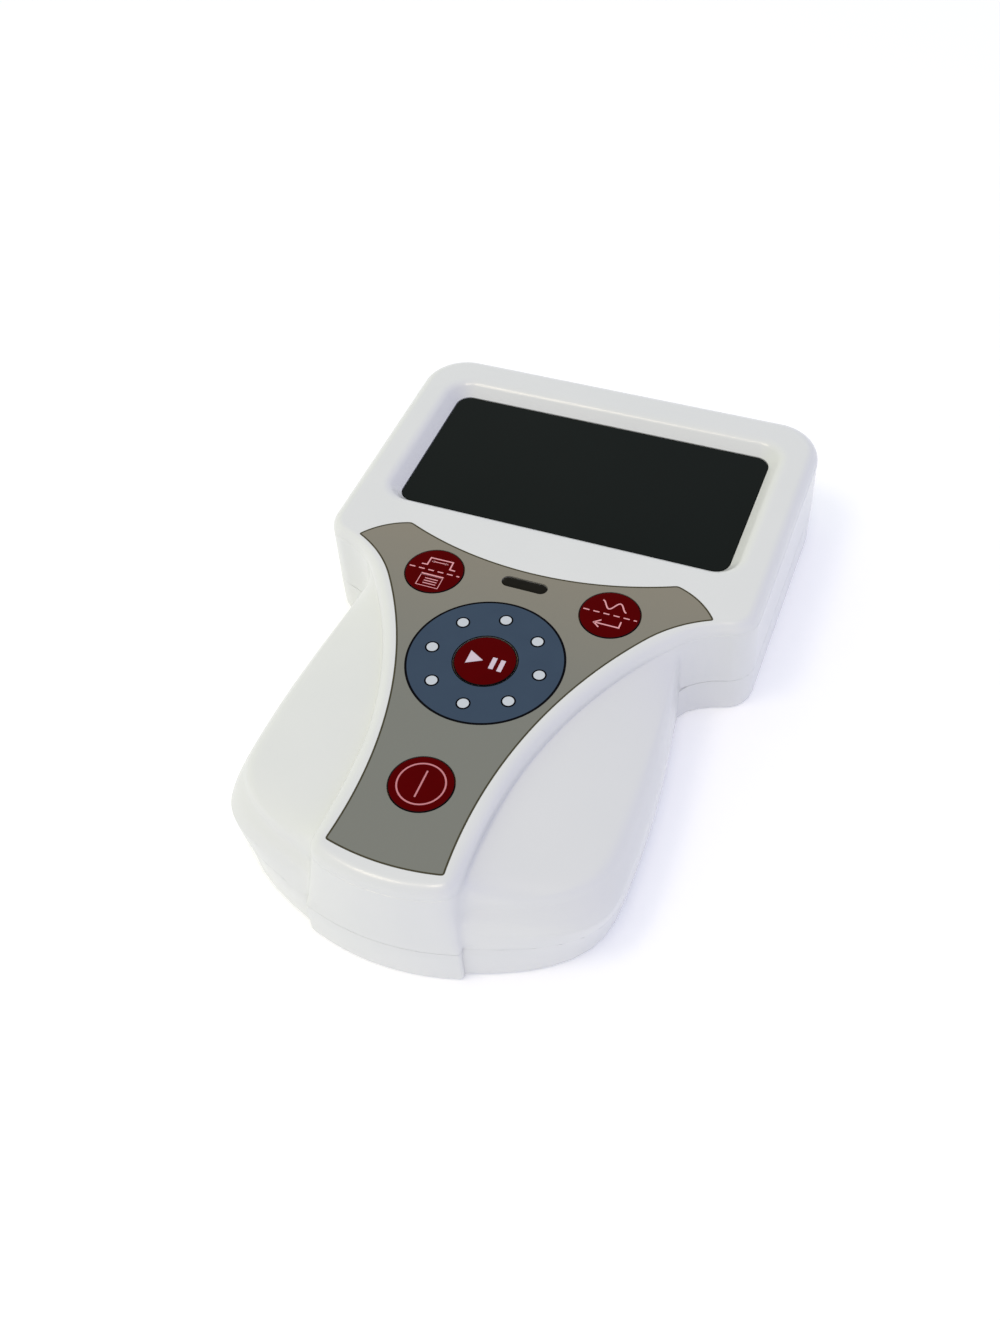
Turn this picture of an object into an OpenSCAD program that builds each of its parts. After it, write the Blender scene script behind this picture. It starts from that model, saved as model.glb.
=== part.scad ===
// Handheld nerve stimulator: a display head on a waisted handle, in two moulded shells.
// Millimetres. The plan is drawn about the touch ring's centre, with +Y towards the display,
// and moved so that the origin is under the middle of the housing, on the table.

/* [Housing] */
// Width across the display head
head_w = 90; // [88:0.5:98]
// Ring centre to the far wall of the head
head_reach = 84.2; // [83.6:0.2:92]
// Ring centre to the end of the tail, near the table
tail_reach = 52.8; // [52:0.2:58]
// How far the tail leans in from there to the deck
tail_lean = 2.4; // [1:0.2:3.6]
// Height of the deck above the table
housing_h = 24; // [23.6:0.2:28]
// Height of the parting line between the two shells
parting_z = 8.5; // [8:0.1:9]
// Thickness of the moulded walls
wall = 2; // [1.6:0.1:2.3]
// Thickness of the deck
deck_t = 2.6; // [2.2:0.1:3]
// Thickness of the bottom shell's floor
floor_t = 2.2; // [1.8:0.1:2.4]
// Fillet where the deck rolls over into the walls
deck_fillet = 2.5; // [1.8:0.1:2.6]
// Rounding of the bottom edge
base_fillet = 0.8; // [0.6:0.1:2]
// Plan radius of the head's far corners
far_corner_r = 10; // [8:0.5:12]
// Plan radius of the head's near corners
near_corner_r = 6; // [5:0.25:7]
// Draft of the moulded walls in degrees
draft = 1; // [0.2:0.1:1.2]

/* [Spine] */
// Narrowest width of the raised spine
waist_w = 27.2; // [26:0.2:32]
// Ring centre back to the narrowest point
waist_back = 36; // [32:0.5:40]
// Plan radius of the spine's flanks
flank_r = 84.8; // [80:0.2:92]
// Plan radius that sweeps a flank out into the head
sweep_r = 16; // [14:0.5:18]
// Ring centre forward to the start of that sweep
sweep_start = 17; // [16:0.25:18]
// Plan radius of the tail's end face
tail_bow_r = 46; // [40:1:60]
// Plan radius of the spine's corners at the tail
tail_corner_r = 3.4; // [3.4:0.1:4]
// Plan radius of those corners near the table, where the hips meet them
tail_foot_r = 0.6; // [0.4:0.1:1.2]

/* [Hips] */
// Width across the hips
hip_w = 74.8; // [73:0.2:78]
// Ring centre back to the widest point
hip_back = 24; // [20:0.5:27]
// Plan radius of a hip's long side
hip_side_r = 170; // [150:5:200]
// Height of the widest line above the table
belly_z = 12; // [10.5:0.25:13]
// How much each hip draws in from that line to the table
hip_tuck = 1.6; // [0.6:0.1:2.2]
// Height at which a hip's rounded shoulder ends
shoulder_z = 16; // [15.4:0.1:17]
// Width of the rounded shoulder
shoulder_run = 2.8; // [2:0.1:4]
// Depth of the crease between deck and hip, below the deck
crease_drop = 3.4; // [3.2:0.1:4]
// Ring centre back to the end of a hip, near the table
hip_reach = 50.6; // [49:0.2:51]
// How far a hip's end wall leans in from there to its shoulder
hip_end_lean = 5.1; // [4:0.1:6]
// Radius that softens the hollow where a hip leaves the head
neck_soften = 1.5; // [0.5:0.1:2.5]

/* [Display] */
// Width of the display window
window_w = 70.7; // [66:0.1:72]
// Length of the display window
window_l = 35.4; // [33:0.1:36]
// Ring centre to the near edge of the window
window_ahead = 38.1; // [37.6:0.1:38.6]
// Corner radius of the window
window_r = 3; // [1.5:0.25:4]
// Depth of the window below the deck
bezel_depth = 2.6; // [2:0.1:3]
// Plan width of the sloping bezel
bezel_run = 2.5; // [1.5:0.1:3]
// Thickness of the window
window_t = 1.2; // [0.8:0.1:1.5]
// Thickness of the adhesive frame under the window
tape_t = 0.3; // [0.2:0.05:0.5]
// Width of the ledge that carries the window
ledge_w = 1.5; // [1:0.1:2]
// Thickness of that ledge
ledge_t = 1.2; // [1:0.1:1.4]
// Thickness of the foam gasket above the display
gasket_t = 0.5; // [0.4:0.1:0.8]
// Rim of the display frame outside the window, each side
lcd_rim = 3.2; // [2.8:0.1:3.4]
// Sheet thickness of the display frame
lcd_sheet = 0.4; // [0.3:0.05:0.6]
// Thickness of the display glass
glass_t = 2; // [1.6:0.1:2.2]
// Thickness of the backlight
backlight_t = 2.2; // [1.8:0.1:2.4]

/* [Keypad] */
// Radius of the round keys
key_r = 5.85; // [5:0.05:6.2]
// Gap around each key
key_gap = 0.15; // [0.1:0.05:0.3]
// Travel of each key
key_travel = 0.3; // [0.2:0.05:0.35]
// Crown of each key above the deck
key_crown = 0.15; // [0.05:0.05:0.3]
// Spread of the two upper keys from the centre line
upper_key_x = 18.1; // [17.6:0.1:18.6]
// Ring centre to the upper keys
upper_key_y = 18.3; // [17.6:0.1:18.6]
// Ring centre back to the power key
power_key_back = 29.5; // [27:0.5:32]
// Margin of deck between the flank and the overlay
overlay_margin = 3.2; // [3.1:0.1:4]
// Ring centre back to the overlay's bottom edge
overlay_back = 46.3; // [44:0.1:46.6]
// Plan radius that flares the overlay out to its tips
tip_flare_r = 26; // [22:0.5:30]
// Ring centre forward to the start of that flare
tip_flare_start = 14.5; // [13:0.25:15.5]
// Half width across the overlay's tips
tip_x = 36.9; // [36:0.1:37.4]
// Half width across the overlay's upper corners
upper_corner_x = 28; // [27:0.1:29]
// Ring centre to the overlay's top edge on the centre line
overlay_ahead = 23.9; // [23.6:0.1:24.4]
// Plan radius of the overlay's hollow top edge
overlay_top_r = 71; // [66:1:80]
// Plan radius of the overlay's tip ends
tip_end_r = 16; // [14:0.5:20]
// Thickness of the overlay sheet
overlay_t = 0.3; // [0.2:0.05:0.4]
// Thickness of the spacer sheet
spacer_t = 0.85; // [0.8:0.05:1]
// Thickness of the circuit sheet
circuit_t = 0.25; // [0.15:0.05:0.3]
// Radius of the snap domes
dome_r = 5; // [4:0.1:5.2]
// Height of the snap domes
dome_h = 0.45; // [0.3:0.05:0.45]
// Sheet thickness of the snap domes
dome_t = 0.1; // [0.05:0.05:0.15]
// Length of the status window
status_l = 9.2; // [7:0.2:10]
// Width of the status window
status_w = 2.6; // [2:0.1:3]
// Ring centre to the status window
status_ahead = 20.5; // [20:0.1:20.8]
// Width of the ribbon from the circuit sheet to the board
tail_w = 5.6; // [4:0.2:6]
// Offset of that ribbon from the centre line
tail_x = 9; // [8:0.5:10]
// Ring centre to that ribbon
tail_slot_y = 19; // [18.6:0.1:19.2]

/* [Electronics] */
// Thickness of the main board
board_t = 1.6; // [1.2:0.1:1.8]
// Room between the board's long edges and the shell
board_gap = 0.7; // [0.5:0.1:1]
// Width of the board's tongue under the keypad
tongue_w = 48; // [44:1:50]
// Radius of the lead plug that the output socket takes
plug_r = 1.75; // [1.25:0.05:1.8]
// Radial room between plug and socket
plug_gap = 0.05; // [0.05:0.05:0.1]
// Depth of the output socket
socket_depth = 12; // [10:0.5:14]
// Radius of the socket's nose
nose_r = 2.6; // [2.4:0.05:2.7]
// Height of the socket's body
socket_h = 6; // [5.6:0.1:6.2]
// Width of the socket's body
socket_w = 7.2; // [6:0.2:8]
// Edge length of the microcontroller
chip_w = 12; // [10:0.5:13]
// Width of the transformer's core
core_w = 18; // [16:0.5:19]
// Length of the transformer's core
core_l = 15; // [14:0.5:16]
// Height of the transformer's core
core_h = 8; // [7.6:0.1:8.4]
// Radius of the transformer's winding
winding_r = 5; // [4:0.1:5.2]
// Radius of the reservoir capacitor
can_r = 4; // [3:0.1:4.1]
// Length of the reservoir capacitor
can_l = 14; // [10:0.5:15]
// Radius of the boost inductor
drum_r = 4.6; // [3.6:0.1:5]
// Height of the boost inductor
drum_h = 5.2; // [4:0.1:6]
// Radius of the buzzer
buzzer_r = 6; // [5:0.1:6.2]
// Height of the buzzer
buzzer_h = 5.5; // [4:0.1:6]

/* [Power] */
// Diameter of a battery cell
cell_d = 10.5; // [10.2:0.1:10.6]
// Length of a battery cell with its button
cell_l = 44.5; // [44:0.1:45]
// Number of cells side by side
cells = 4; // [2:1:4]
// Centre distance of neighbouring cells
cell_pitch = 11.1; // [10.9:0.1:11.4]
// Length of a contact spring as fitted
spring_l = 5; // [4.4:0.1:5.6]
// Wire thickness of a contact spring
spring_wire = 0.6; // [0.4:0.05:0.7]
// Turns of a contact spring
spring_turns = 3.5; // [2.5:0.5:3.5]
// Sheet thickness of the contact plates
plate_t = 0.4; // [0.3:0.05:0.5]
// Wall of the battery bay
bay_wall = 1.6; // [1.2:0.1:1.8]
// Ring centre back to the middle of the bay
bay_back = 11.75; // [11:0.25:12]
// Thickness of the battery door
door_t = 1.9; // [1.6:0.1:2]
// Radius of the door's rolled hinge edge
door_roll_r = 1.3; // [1.2:0.05:1.4]
// Radius of the door's hinge pins
door_pin_r = 0.7; // [0.5:0.05:0.8]
// Length of the door's hinge pins
door_pin_l = 1.4; // [1:0.1:1.8]

/* [Fasteners] */
// Radius of the screws' shanks
screw_r = 1.25; // [1:0.05:1.3]
// Radius of the screws' heads
screw_head_r = 2.1; // [1.8:0.05:2.2]
// Height of the screws' heads
screw_head_h = 1.5; // [1.2:0.1:1.6]
// Length of the case screws' shanks
case_screw_l = 11; // [9.5:0.5:11.5]
// Length of the board screws' shanks
board_screw_l = 6; // [5:0.5:8]
// Outer radius of the screw bosses
boss_r = 2.3; // [2.1:0.05:2.4]
// Depth of the recess for a case screw's head
screw_recess = 2.6; // [2.2:0.1:2.8]

/* [Fits] */
// Side gap around fitted sheets and pieces
fit_gap = 0.1; // [0.05:0.05:0.2]
// Running gap around the battery door
door_gap = 0.3; // [0.25:0.05:0.4]
// Radial gap of the door pins in their sockets
pin_gap = 0.1; // [0.05:0.05:0.1]
// Gap of the lip inside the top shell's wall
lip_gap = 0.15; // [0.1:0.05:0.25]
// Thickness of that lip
lip_t = 0.9; // [0.7:0.1:1.1]
// Height of that lip
lip_h = 1; // [0.6:0.1:1.2]
// Gap of a screw's shank in its hole
screw_gap = 0.05; // [0.05:0.05:0.1]

/* [Hidden] */
$fn = 48;

// Heights from the table up
band_z = parting_z - 1.5;
crease_z = housing_h - crease_drop;
deck_under = housing_h - deck_t;
keypad_floor = housing_h - overlay_t - spacer_t - circuit_t;
window_top = housing_h - bezel_depth;
ledge_top = window_top - window_t - tape_t;
ledge_under = ledge_top - ledge_t;
lcd_top = ledge_under - gasket_t;
board_top = lcd_top - lcd_sheet - glass_t - backlight_t;
board_under = board_top - board_t;

// Plan places about the ring's centre
datum_y = (tail_reach - head_reach) / 2;
window_y = window_ahead + window_l / 2;
flank_c = [waist_w / 2 + flank_r, -waist_back];
sweep_a = asin((sweep_start + waist_back) / flank_r);
sweep_c = flank_c + (flank_r - sweep_r) * [-cos(sweep_a), sin(sweep_a)];
near_x = head_w / 2 - near_corner_r;
near_c = [near_x, sweep_c.y + sqrt(pow(sweep_r + near_corner_r, 2) - pow(near_x - sweep_c.x, 2))];
near_a = atan2(sweep_c.y - near_c.y, sweep_c.x - near_c.x);
neck_y = sweep_start + 2;
KEYS = [[-upper_key_x, upper_key_y], [upper_key_x, upper_key_y], [0, 0], [0, -power_key_back]];

// Display frame, board and bosses
boss_gap = 0.4;
rib_t = 1.2;
lcd_w = window_w + 2 * lcd_rim - 2;
lcd_l = window_l + 2 * lcd_rim;
board_w = head_w - 2 * wall - 2 * board_gap;
far_boss_y = head_reach - wall - boss_r - boss_gap;
board_far = head_reach - wall - board_gap;
board_step = window_y - lcd_l / 2 + 0.5;
board_screw_x = 0.4 * tongue_w;
board_screw_run = lcd_l / 2 + boss_r + boss_gap;
BOARD_SCREWS = [for (s = [-1, 1], t = [-1, 1]) [s * board_screw_x, window_y + t * board_screw_run]];
FAR_BOSSES = [for (s = [-1, 1]) [s * head_w / 3, far_boss_y]];
near_boss = [near_c.x - 0.8, near_c.y + 2.4];
hip_boss = [hip_w / 2 - 8.9, -hip_back + 6];
CASE_SCREWS = [for (s = [-1, 1], p = [[head_w / 3, far_boss_y], near_boss, hip_boss]) [s * p.x, p.y]];
recess_r = screw_head_r + 0.3;
recess_wall = 1.2;

// Battery bay and door
door_z = 0.1;
door_top = door_z + door_t;
cell_z = max(door_top, floor_t) + 0.1 + cell_d / 2;
bay_w = cells * cell_pitch + 1;
bay_l = cell_l + spring_l + 2 * plate_t + 0.6;
bay_near = -bay_back - bay_l / 2;
bay_far = -bay_back + bay_l / 2;
bay_roof = cell_z + cell_d / 2 + 0.3;
bay_roof_t = 1.2;
ledge = 0.9;
door_w = bay_w + 2 * ledge;
hinge_y = bay_far + bay_wall + door_roll_r + 0.4;
hinge_z = door_z + door_roll_r;
door_near = bay_near - ledge;
board_near = bay_far + bay_wall + 1.5;
connector_l = 4;
connector_gap = 1.3;
ribbon_y = max(tail_slot_y, bay_far + bay_wall + connector_gap + connector_l / 2);
thumb_w = 12;
thumb_d = 1.6;
tab_w = 3;
tab_z = bay_roof - 2.6;
tongue_half = 7;
slit_w = 0.8;
CELL_X = [for (i = [0:cells - 1]) (i - (cells - 1) / 2) * cell_pitch];
CELL_TURN = [for (i = [0:cells - 1]) i % 2 == 0 ? 1 : -1];

// Places of the parts under the board
CHIP = [-board_w / 4, window_y - 3.8];
CORE = [board_w / 4, window_y + 4.2];
DRUM = [2, window_y - 6.8];
BUZZER = [-board_w / 3, window_y + 12.2];
CAN_Y = board_near + 13.2;

// Output socket in the far wall
socket_z = board_under - socket_h / 2;
socket_face = head_reach - 0.6;
socket_bore_r = plug_r + plug_gap;

// Curves
function unit(v) = v / norm(v);
function limit01(t) = max(0, min(1, t));
function arc(c, r, from, to, n) =
    [for (i = [0:n]) let (a = from + (to - from) * i / n) c + r * [cos(a), sin(a)]];
function mirrored(half) = [for (i = [len(half) - 1:-1:0]) [-half[i].x, half[i].y]];
function ring(half) = concat(half, mirrored(half));

// Housing plan: the spine's wall, a hip's outline and what the hip adds to the spine at each height
function spine_x(y) = y < sweep_start
    ? flank_c.x - sqrt(pow(flank_r, 2) - pow(y - flank_c.y, 2))
    : sweep_c.x - sqrt(pow(sweep_r, 2) - pow(y - sweep_c.y, 2));
function rise(z, top) = limit01((z - band_z) / (top - band_z));
function hip_end(z) = -hip_reach
    + hip_end_lean * lookup(z, [[band_z, 0], [belly_z, 0.37], [shoulder_z, 0.95], [crease_z, 1.1]]);
function tail_end(z) = -tail_reach + tail_lean * rise(z, housing_h);
function hip_square(z) = lookup(z, [[band_z, 3.4], [belly_z, 4.6], [shoulder_z, 3.2]]);
function corner_r(z) = tail_foot_r + (tail_corner_r - tail_foot_r) * rise(z, crease_z);
function hip_x(y, z, end) = y > -hip_back
    ? hip_w / 2 - pow(y + hip_back, 2) / (2 * hip_side_r)
    : let (x0 = spine_x(end), t = limit01((-hip_back - y) / (-hip_back - end)))
      x0 + (hip_w / 2 - x0) * (1 - pow(t, hip_square(z)));
function hip_bulge(y, z, end) =
    let (d = hip_x(y, z, end) - spine_x(y), ends = limit01((neck_y - y) / 5) * limit01((y - end) / 5))
    max(0, (d + sqrt(d * d + pow(neck_soften, 2) * ends)) / 2);

// Centre of the tail's corner of radius r, tangent to the spine's flank and to the bowed end face
function tail_corner(bow_c, r) =
    let (
        gap = flank_c - bow_c,
        along = (pow(tail_bow_r - r, 2) - pow(flank_r + r, 2) + gap * gap) / (2 * norm(gap)),
        across = sqrt(pow(tail_bow_r - r, 2) - pow(along, 2)),
        u = unit(gap)
    )
    bow_c + along * u + across * [u.y, -u.x];

// Half of the housing's plan at height z, with the hip's share of its full width and
// tail corners of radius r, from the far corner round to the middle of the tail
function plan(z, share, r) =
    let (
        far_c = [head_w / 2 - far_corner_r, head_reach - far_corner_r],
        far = arc(far_c, far_corner_r, 90, 0, 6),
        near = arc(near_c, near_corner_r, 0, near_a, 5),
        sweep = arc(sweep_c, sweep_r, near_a + 180, 180 - asin((neck_y - sweep_c.y) / sweep_r), 3),
        bow_c = [0, tail_end(z) + tail_bow_r],
        tip_c = tail_corner(bow_c, r),
        tip_a = atan2(tip_c.y - bow_c.y, tip_c.x),
        flank_a = atan2(flank_c.y - tip_c.y, flank_c.x - tip_c.x),
        tip = arc(tip_c, r, flank_a, tip_a, 4),
        end = max(hip_end(z), tip[0].y + 0.5),
        mid_y = (end + tip[0].y) / 2,
        side = [for (i = [1:22]) let (u = i / 22, y = neck_y + (end - neck_y) * (u - 0.056 * sin(360 * u)))
            [spine_x(y) + share * hip_bulge(y, z, end), y]],
        bow = [for (i = [1:4]) let (a = tip_a - (90 + tip_a) * i / 4.5) bow_c + tail_bow_r * [cos(a), sin(a)]]
    )
    concat(far, near, [for (i = [1:3]) sweep[i]], side, [[spine_x(mid_y), mid_y]], tip, bow);

// The same half plan drawn in by d along its normals
function drawn_in(half, d) =
    let (n = len(half), first = [-half[0].x, half[0].y], last = [-half[n - 1].x, half[n - 1].y])
    [for (i = [0:n - 1])
        let (p = half[i], a = i == 0 ? first : half[i - 1], b = i == n - 1 ? last : half[i + 1],
            t = unit(unit(b - p) + unit(p - a)))
        p + d * [t.y, -t.x]];
function level(half, z) = [for (p = ring(half)) [p.x, p.y, z]];

// A hip's section as [height, share of its width], from the parting line up to the crease
hip_span = (hip_w - waist_w) / 2;
shoulder = [for (t = [30, 55, 75])
    [belly_z + (shoulder_z - belly_z) * sin(t), 1 - shoulder_run / hip_span * (1 - cos(t))]];
shoulder_end = shoulder[2];
cheek = [for (g = [0.66, 0.33, 0])
    [crease_z - (crease_z - shoulder_end[0]) * (0.75 * g + 0.25 * g * g), shoulder_end[1] * g]];
function tuck(z) = 1 - hip_tuck / hip_span * pow(limit01(1 - z / belly_z), 2);
hip_section = concat([for (z = [parting_z, (parting_z + belly_z) / 2, belly_z]) [z, tuck(z)]], shoulder, cheek);
function cheek_z(x, y) = lookup((x - spine_x(y)) / hip_bulge(y, shoulder_z, hip_end(shoulder_z)),
    [[0, crease_z], [shoulder_end[1], shoulder_end[0]], [1, belly_z]]);
function drafted(z) = tan(draft) * max(0, z - band_z);
inner_corner = wall + lip_gap + lip_t + 1;
function outer_row(s) = level(drawn_in(plan(s[0], s[1], corner_r(s[0])), drafted(s[0])), s[0]);
function inner_row(s, drop) =
    level(drawn_in(plan(s[0], s[1], inner_corner), drafted(s[0]) + wall), s[0] - drop);

// Solid between stacked rings of equal count, closed by strips across its mirror plane
module loft(rows) {
    n = len(rows[0]);
    last = (len(rows) - 1) * n;
    sides = [for (k = [0:len(rows) - 2], i = [0:n - 1])
        let (a = k * n + i, b = k * n + (i + 1) % n)
        each [[a, b, b + n], [a, b + n, a + n]]];
    caps = [for (i = [0:n / 2 - 2])
        let (p = i, q = i + 1, r = n - 2 - i, s = n - 1 - i)
        each [[p, r, q], [p, s, r], [last + p, last + q, last + r], [last + p, last + r, last + s]]];
    polyhedron(points = [for (row = rows) each row], faces = concat(sides, caps), convexity = 8);
}

// Tube of n sides along a path of points
module tube(path, r, n = 6) {
    count = len(path);
    rings = [for (i = [0:count - 1])
        let (
            t = unit(path[min(i + 1, count - 1)] - path[max(i - 1, 0)]),
            u = unit(cross(t, abs(t.x) < 0.8 ? [1, 0, 0] : [0, 0, 1])),
            v = cross(t, u))
        [for (k = [0:n - 1]) path[i] + r * (cos(360 * k / n) * u + sin(360 * k / n) * v)]];
    last = (count - 1) * n;
    sides = [for (i = [0:count - 2], k = [0:n - 1])
        let (a = i * n + k, b = i * n + (k + 1) % n)
        each [[a, a + n, b + n], [a, b + n, b]]];
    ends = [for (k = [1:n - 2]) each [[0, k, k + 1], [last, last + k + 1, last + k]]];
    polyhedron(points = [for (row = rings) each row], faces = concat(sides, ends));
}

// Rounded plate between two heights
module plate(w, l, r, z0, z1) {
    translate([0, 0, z0]) linear_extrude(z1 - z0) plate_2d(w, l, r);
}

module plate_2d(w, l, r) {
    square([w - 2 * r, l], center = true);
    square([w, l - 2 * r], center = true);
    for (x = [-1, 1], y = [-1, 1]) translate([x * (w / 2 - r), y * (l / 2 - r)]) circle(r);
}

// Slot with round ends, w across
module slot_2d(l, w) {
    square([l - w, w], center = true);
    for (x = [-1, 1]) translate([x * (l - w) / 2, 0]) circle(w / 2);
}

module column(p, r, z0, z1) {
    translate([p.x, p.y, z0]) cylinder(r = r, h = z1 - z0);
}

// Block between two corners
module block(low, high) {
    translate(low) cube(high - low);
}

module on_datum() {
    translate([0, datum_y, 0]) children();
}

module at_window() {
    translate([0, window_y, 0]) children();
}

// Outline of the keypad overlay, grown by g
function overlay_half(g) =
    let (
        bow_c = [0, tail_bow_r - overlay_back],
        flank = flank_r + overlay_margin - g,
        foot_y = -overlay_back + 1.2 - g,
        foot_x = flank_c.x - sqrt(pow(flank, 2) - pow(foot_y - flank_c.y, 2)),
        foot_a = atan2(foot_y - bow_c.y, foot_x),
        flare_a = asin((tip_flare_start - flank_c.y) / flank),
        flare_c = flank_c + (flank - tip_flare_r + g) * [-cos(flare_a), sin(flare_a)],
        tip_a = 180 - acos((flare_c.x - tip_x) / (tip_flare_r - g)),
        top_c = [0, overlay_ahead + overlay_top_r],
        top_r = overlay_top_r - g,
        tip = flare_c + (tip_flare_r - g) * [cos(tip_a), sin(tip_a)] + [g, 0],
        corner = [upper_corner_x + g / 2, top_c.y - sqrt(pow(top_r, 2) - pow(upper_corner_x, 2))],
        half_chord = norm(corner - tip) / 2,
        out = unit([corner.y - tip.y, tip.x - corner.x]),
        end_c = (corner + tip) / 2 - out * sqrt(pow(tip_end_r, 2) - pow(half_chord, 2)),
        end_a0 = atan2(tip.y - end_c.y, tip.x - end_c.x),
        end_a1 = atan2(corner.y - end_c.y, corner.x - end_c.x),
        top_a = atan2(corner.y - top_c.y, corner.x)
    )
    concat(
        arc(bow_c, norm([foot_x, foot_y] - bow_c), -90, foot_a, 5),
        [for (i = [1:10]) let (y = foot_y + (tip_flare_start - foot_y) * i / 10)
            [flank_c.x - sqrt(pow(flank, 2) - pow(y - flank_c.y, 2)), y]],
        [for (i = [1:4]) let (a = 180 - flare_a + (tip_a - 180 + flare_a) * i / 4)
            flare_c + (tip_flare_r - g) * [cos(a), sin(a)] + [g * i / 4, 0]],
        [for (i = [1:4]) let (a = end_a0 + (end_a1 - end_a0) * i / 4) end_c + tip_end_r * [cos(a), sin(a)]],
        [for (i = [1:7]) let (a = top_a + (-90 - top_a) * i / 7.5)
            top_c + norm(corner - top_c) * [cos(a), sin(a)]]
    );

module overlay_2d(g) {
    polygon(ring([for (p = overlay_half(g)) if (p.x > 0.01) p]));
}

module status_2d(g) {
    translate([0, status_ahead]) slot_2d(status_l + 2 * g, status_w + 2 * g);
}

module keys_2d(r) {
    for (p = KEYS) translate(p) circle(r);
}

// Sunk bezel round the window, as a cutter
module bezel_cut() {
    r = window_r + fit_gap;
    flare = bezel_run / bezel_depth;
    x = window_w / 2 - window_r;
    y = window_l / 2 - window_r;
    over = 0.5;
    hull() {
        for (sx = [-1, 1], sy = [-1, 1]) translate([sx * x, sy * y, window_top]) {
            cylinder(r1 = r, r2 = r + flare * (bezel_depth + over), h = bezel_depth + over, $fn = 32);
        }
    }
}

module top_skin() {
    spine = plan(crease_z, 0, inner_corner);
    lean = drafted(housing_h);
    edge = plan(housing_h - deck_fillet, 0, tail_corner_r);
    inner = concat(
        [level(drawn_in(spine, lean + wall + 0.8), deck_under)],
        [level(drawn_in(spine, lean + wall), deck_under - 0.8)],
        [inner_row(cheek[2], wall), inner_row(cheek[1], wall), inner_row(shoulder[1], 0.6 * wall)],
        [for (i = [2:-1:0]) inner_row(hip_section[i], 0)]);
    outer = [for (s = hip_section) outer_row(s)];
    rim = [for (a = [0, 30, 60, 90])
        level(drawn_in(edge, lean + deck_fillet * (1 - cos(a))), housing_h - deck_fillet * (1 - sin(a)))];
    loft(concat(inner, outer, rim));
}

// Ribs that tie a boss to the side wall or to the far wall
module side_rib(p, z) {
    wall_x = head_w / 2 - wall + 0.8;
    translate([p.x < 0 ? -wall_x : p.x, p.y - rib_t / 2, z]) {
        cube([wall_x - abs(p.x), rib_t, housing_h - deck_t / 2 - z]);
    }
}

module far_rib(p, z) {
    wall_y = head_reach - wall + 0.8;
    translate([p.x - rib_t / 2, p.y, z]) cube([rib_t, wall_y - p.y, housing_h - deck_t / 2 - z]);
}

module top_shell() color("white") on_datum() difference() {
    union() {
        top_skin();
        at_window() {
            plate(window_w + 2 * wall, window_l + 2 * wall, window_r + wall, ledge_under,
                housing_h - deck_t / 2);
        }
        for (p = CASE_SCREWS) {
            top = p.y < 0 ? cheek_z(abs(p.x), p.y) - wall / 2 : housing_h - deck_t / 2;
            column(p, boss_r, parting_z, top);
        }
        for (p = BOARD_SCREWS) column(p, boss_r, board_top, housing_h - deck_t / 2);
        for (p = FAR_BOSSES) far_rib(p, parting_z + lip_h + 0.3);
        for (s = [-1, 1]) side_rib([s * near_boss.x, near_boss.y], parting_z + lip_h + 0.3);
    }
    at_window() {
        bezel_cut();
        plate(window_w + 2 * fit_gap, window_l + 2 * fit_gap, window_r + fit_gap, ledge_top, window_top + 0.2);
        plate(window_w - 2 * ledge_w, window_l - 2 * ledge_w, window_r, ledge_under - 1, ledge_top + 1);
    }
    translate([0, 0, keypad_floor]) linear_extrude(deck_t) overlay_2d(fit_gap);
    translate([0, 0, deck_under - 1]) linear_extrude(deck_t) {
        status_2d(fit_gap);
        translate([tail_x, ribbon_y]) square([tail_w + 0.6, 1.2], center = true);
    }
    for (p = CASE_SCREWS) column(p, screw_r + screw_gap, parting_z - 1, screw_recess + case_screw_l + 0.4);
    for (p = BOARD_SCREWS) column(p, screw_r + screw_gap, board_top - 1, board_under + board_screw_l + 0.4);
    nose_cut();
}

// Hole for the socket's nose through the far wall
module nose_cut() {
    translate([0, head_reach + 1, socket_z]) rotate([90, 0, 0]) cylinder(r = nose_r + 0.15, h = wall + 3);
}

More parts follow.
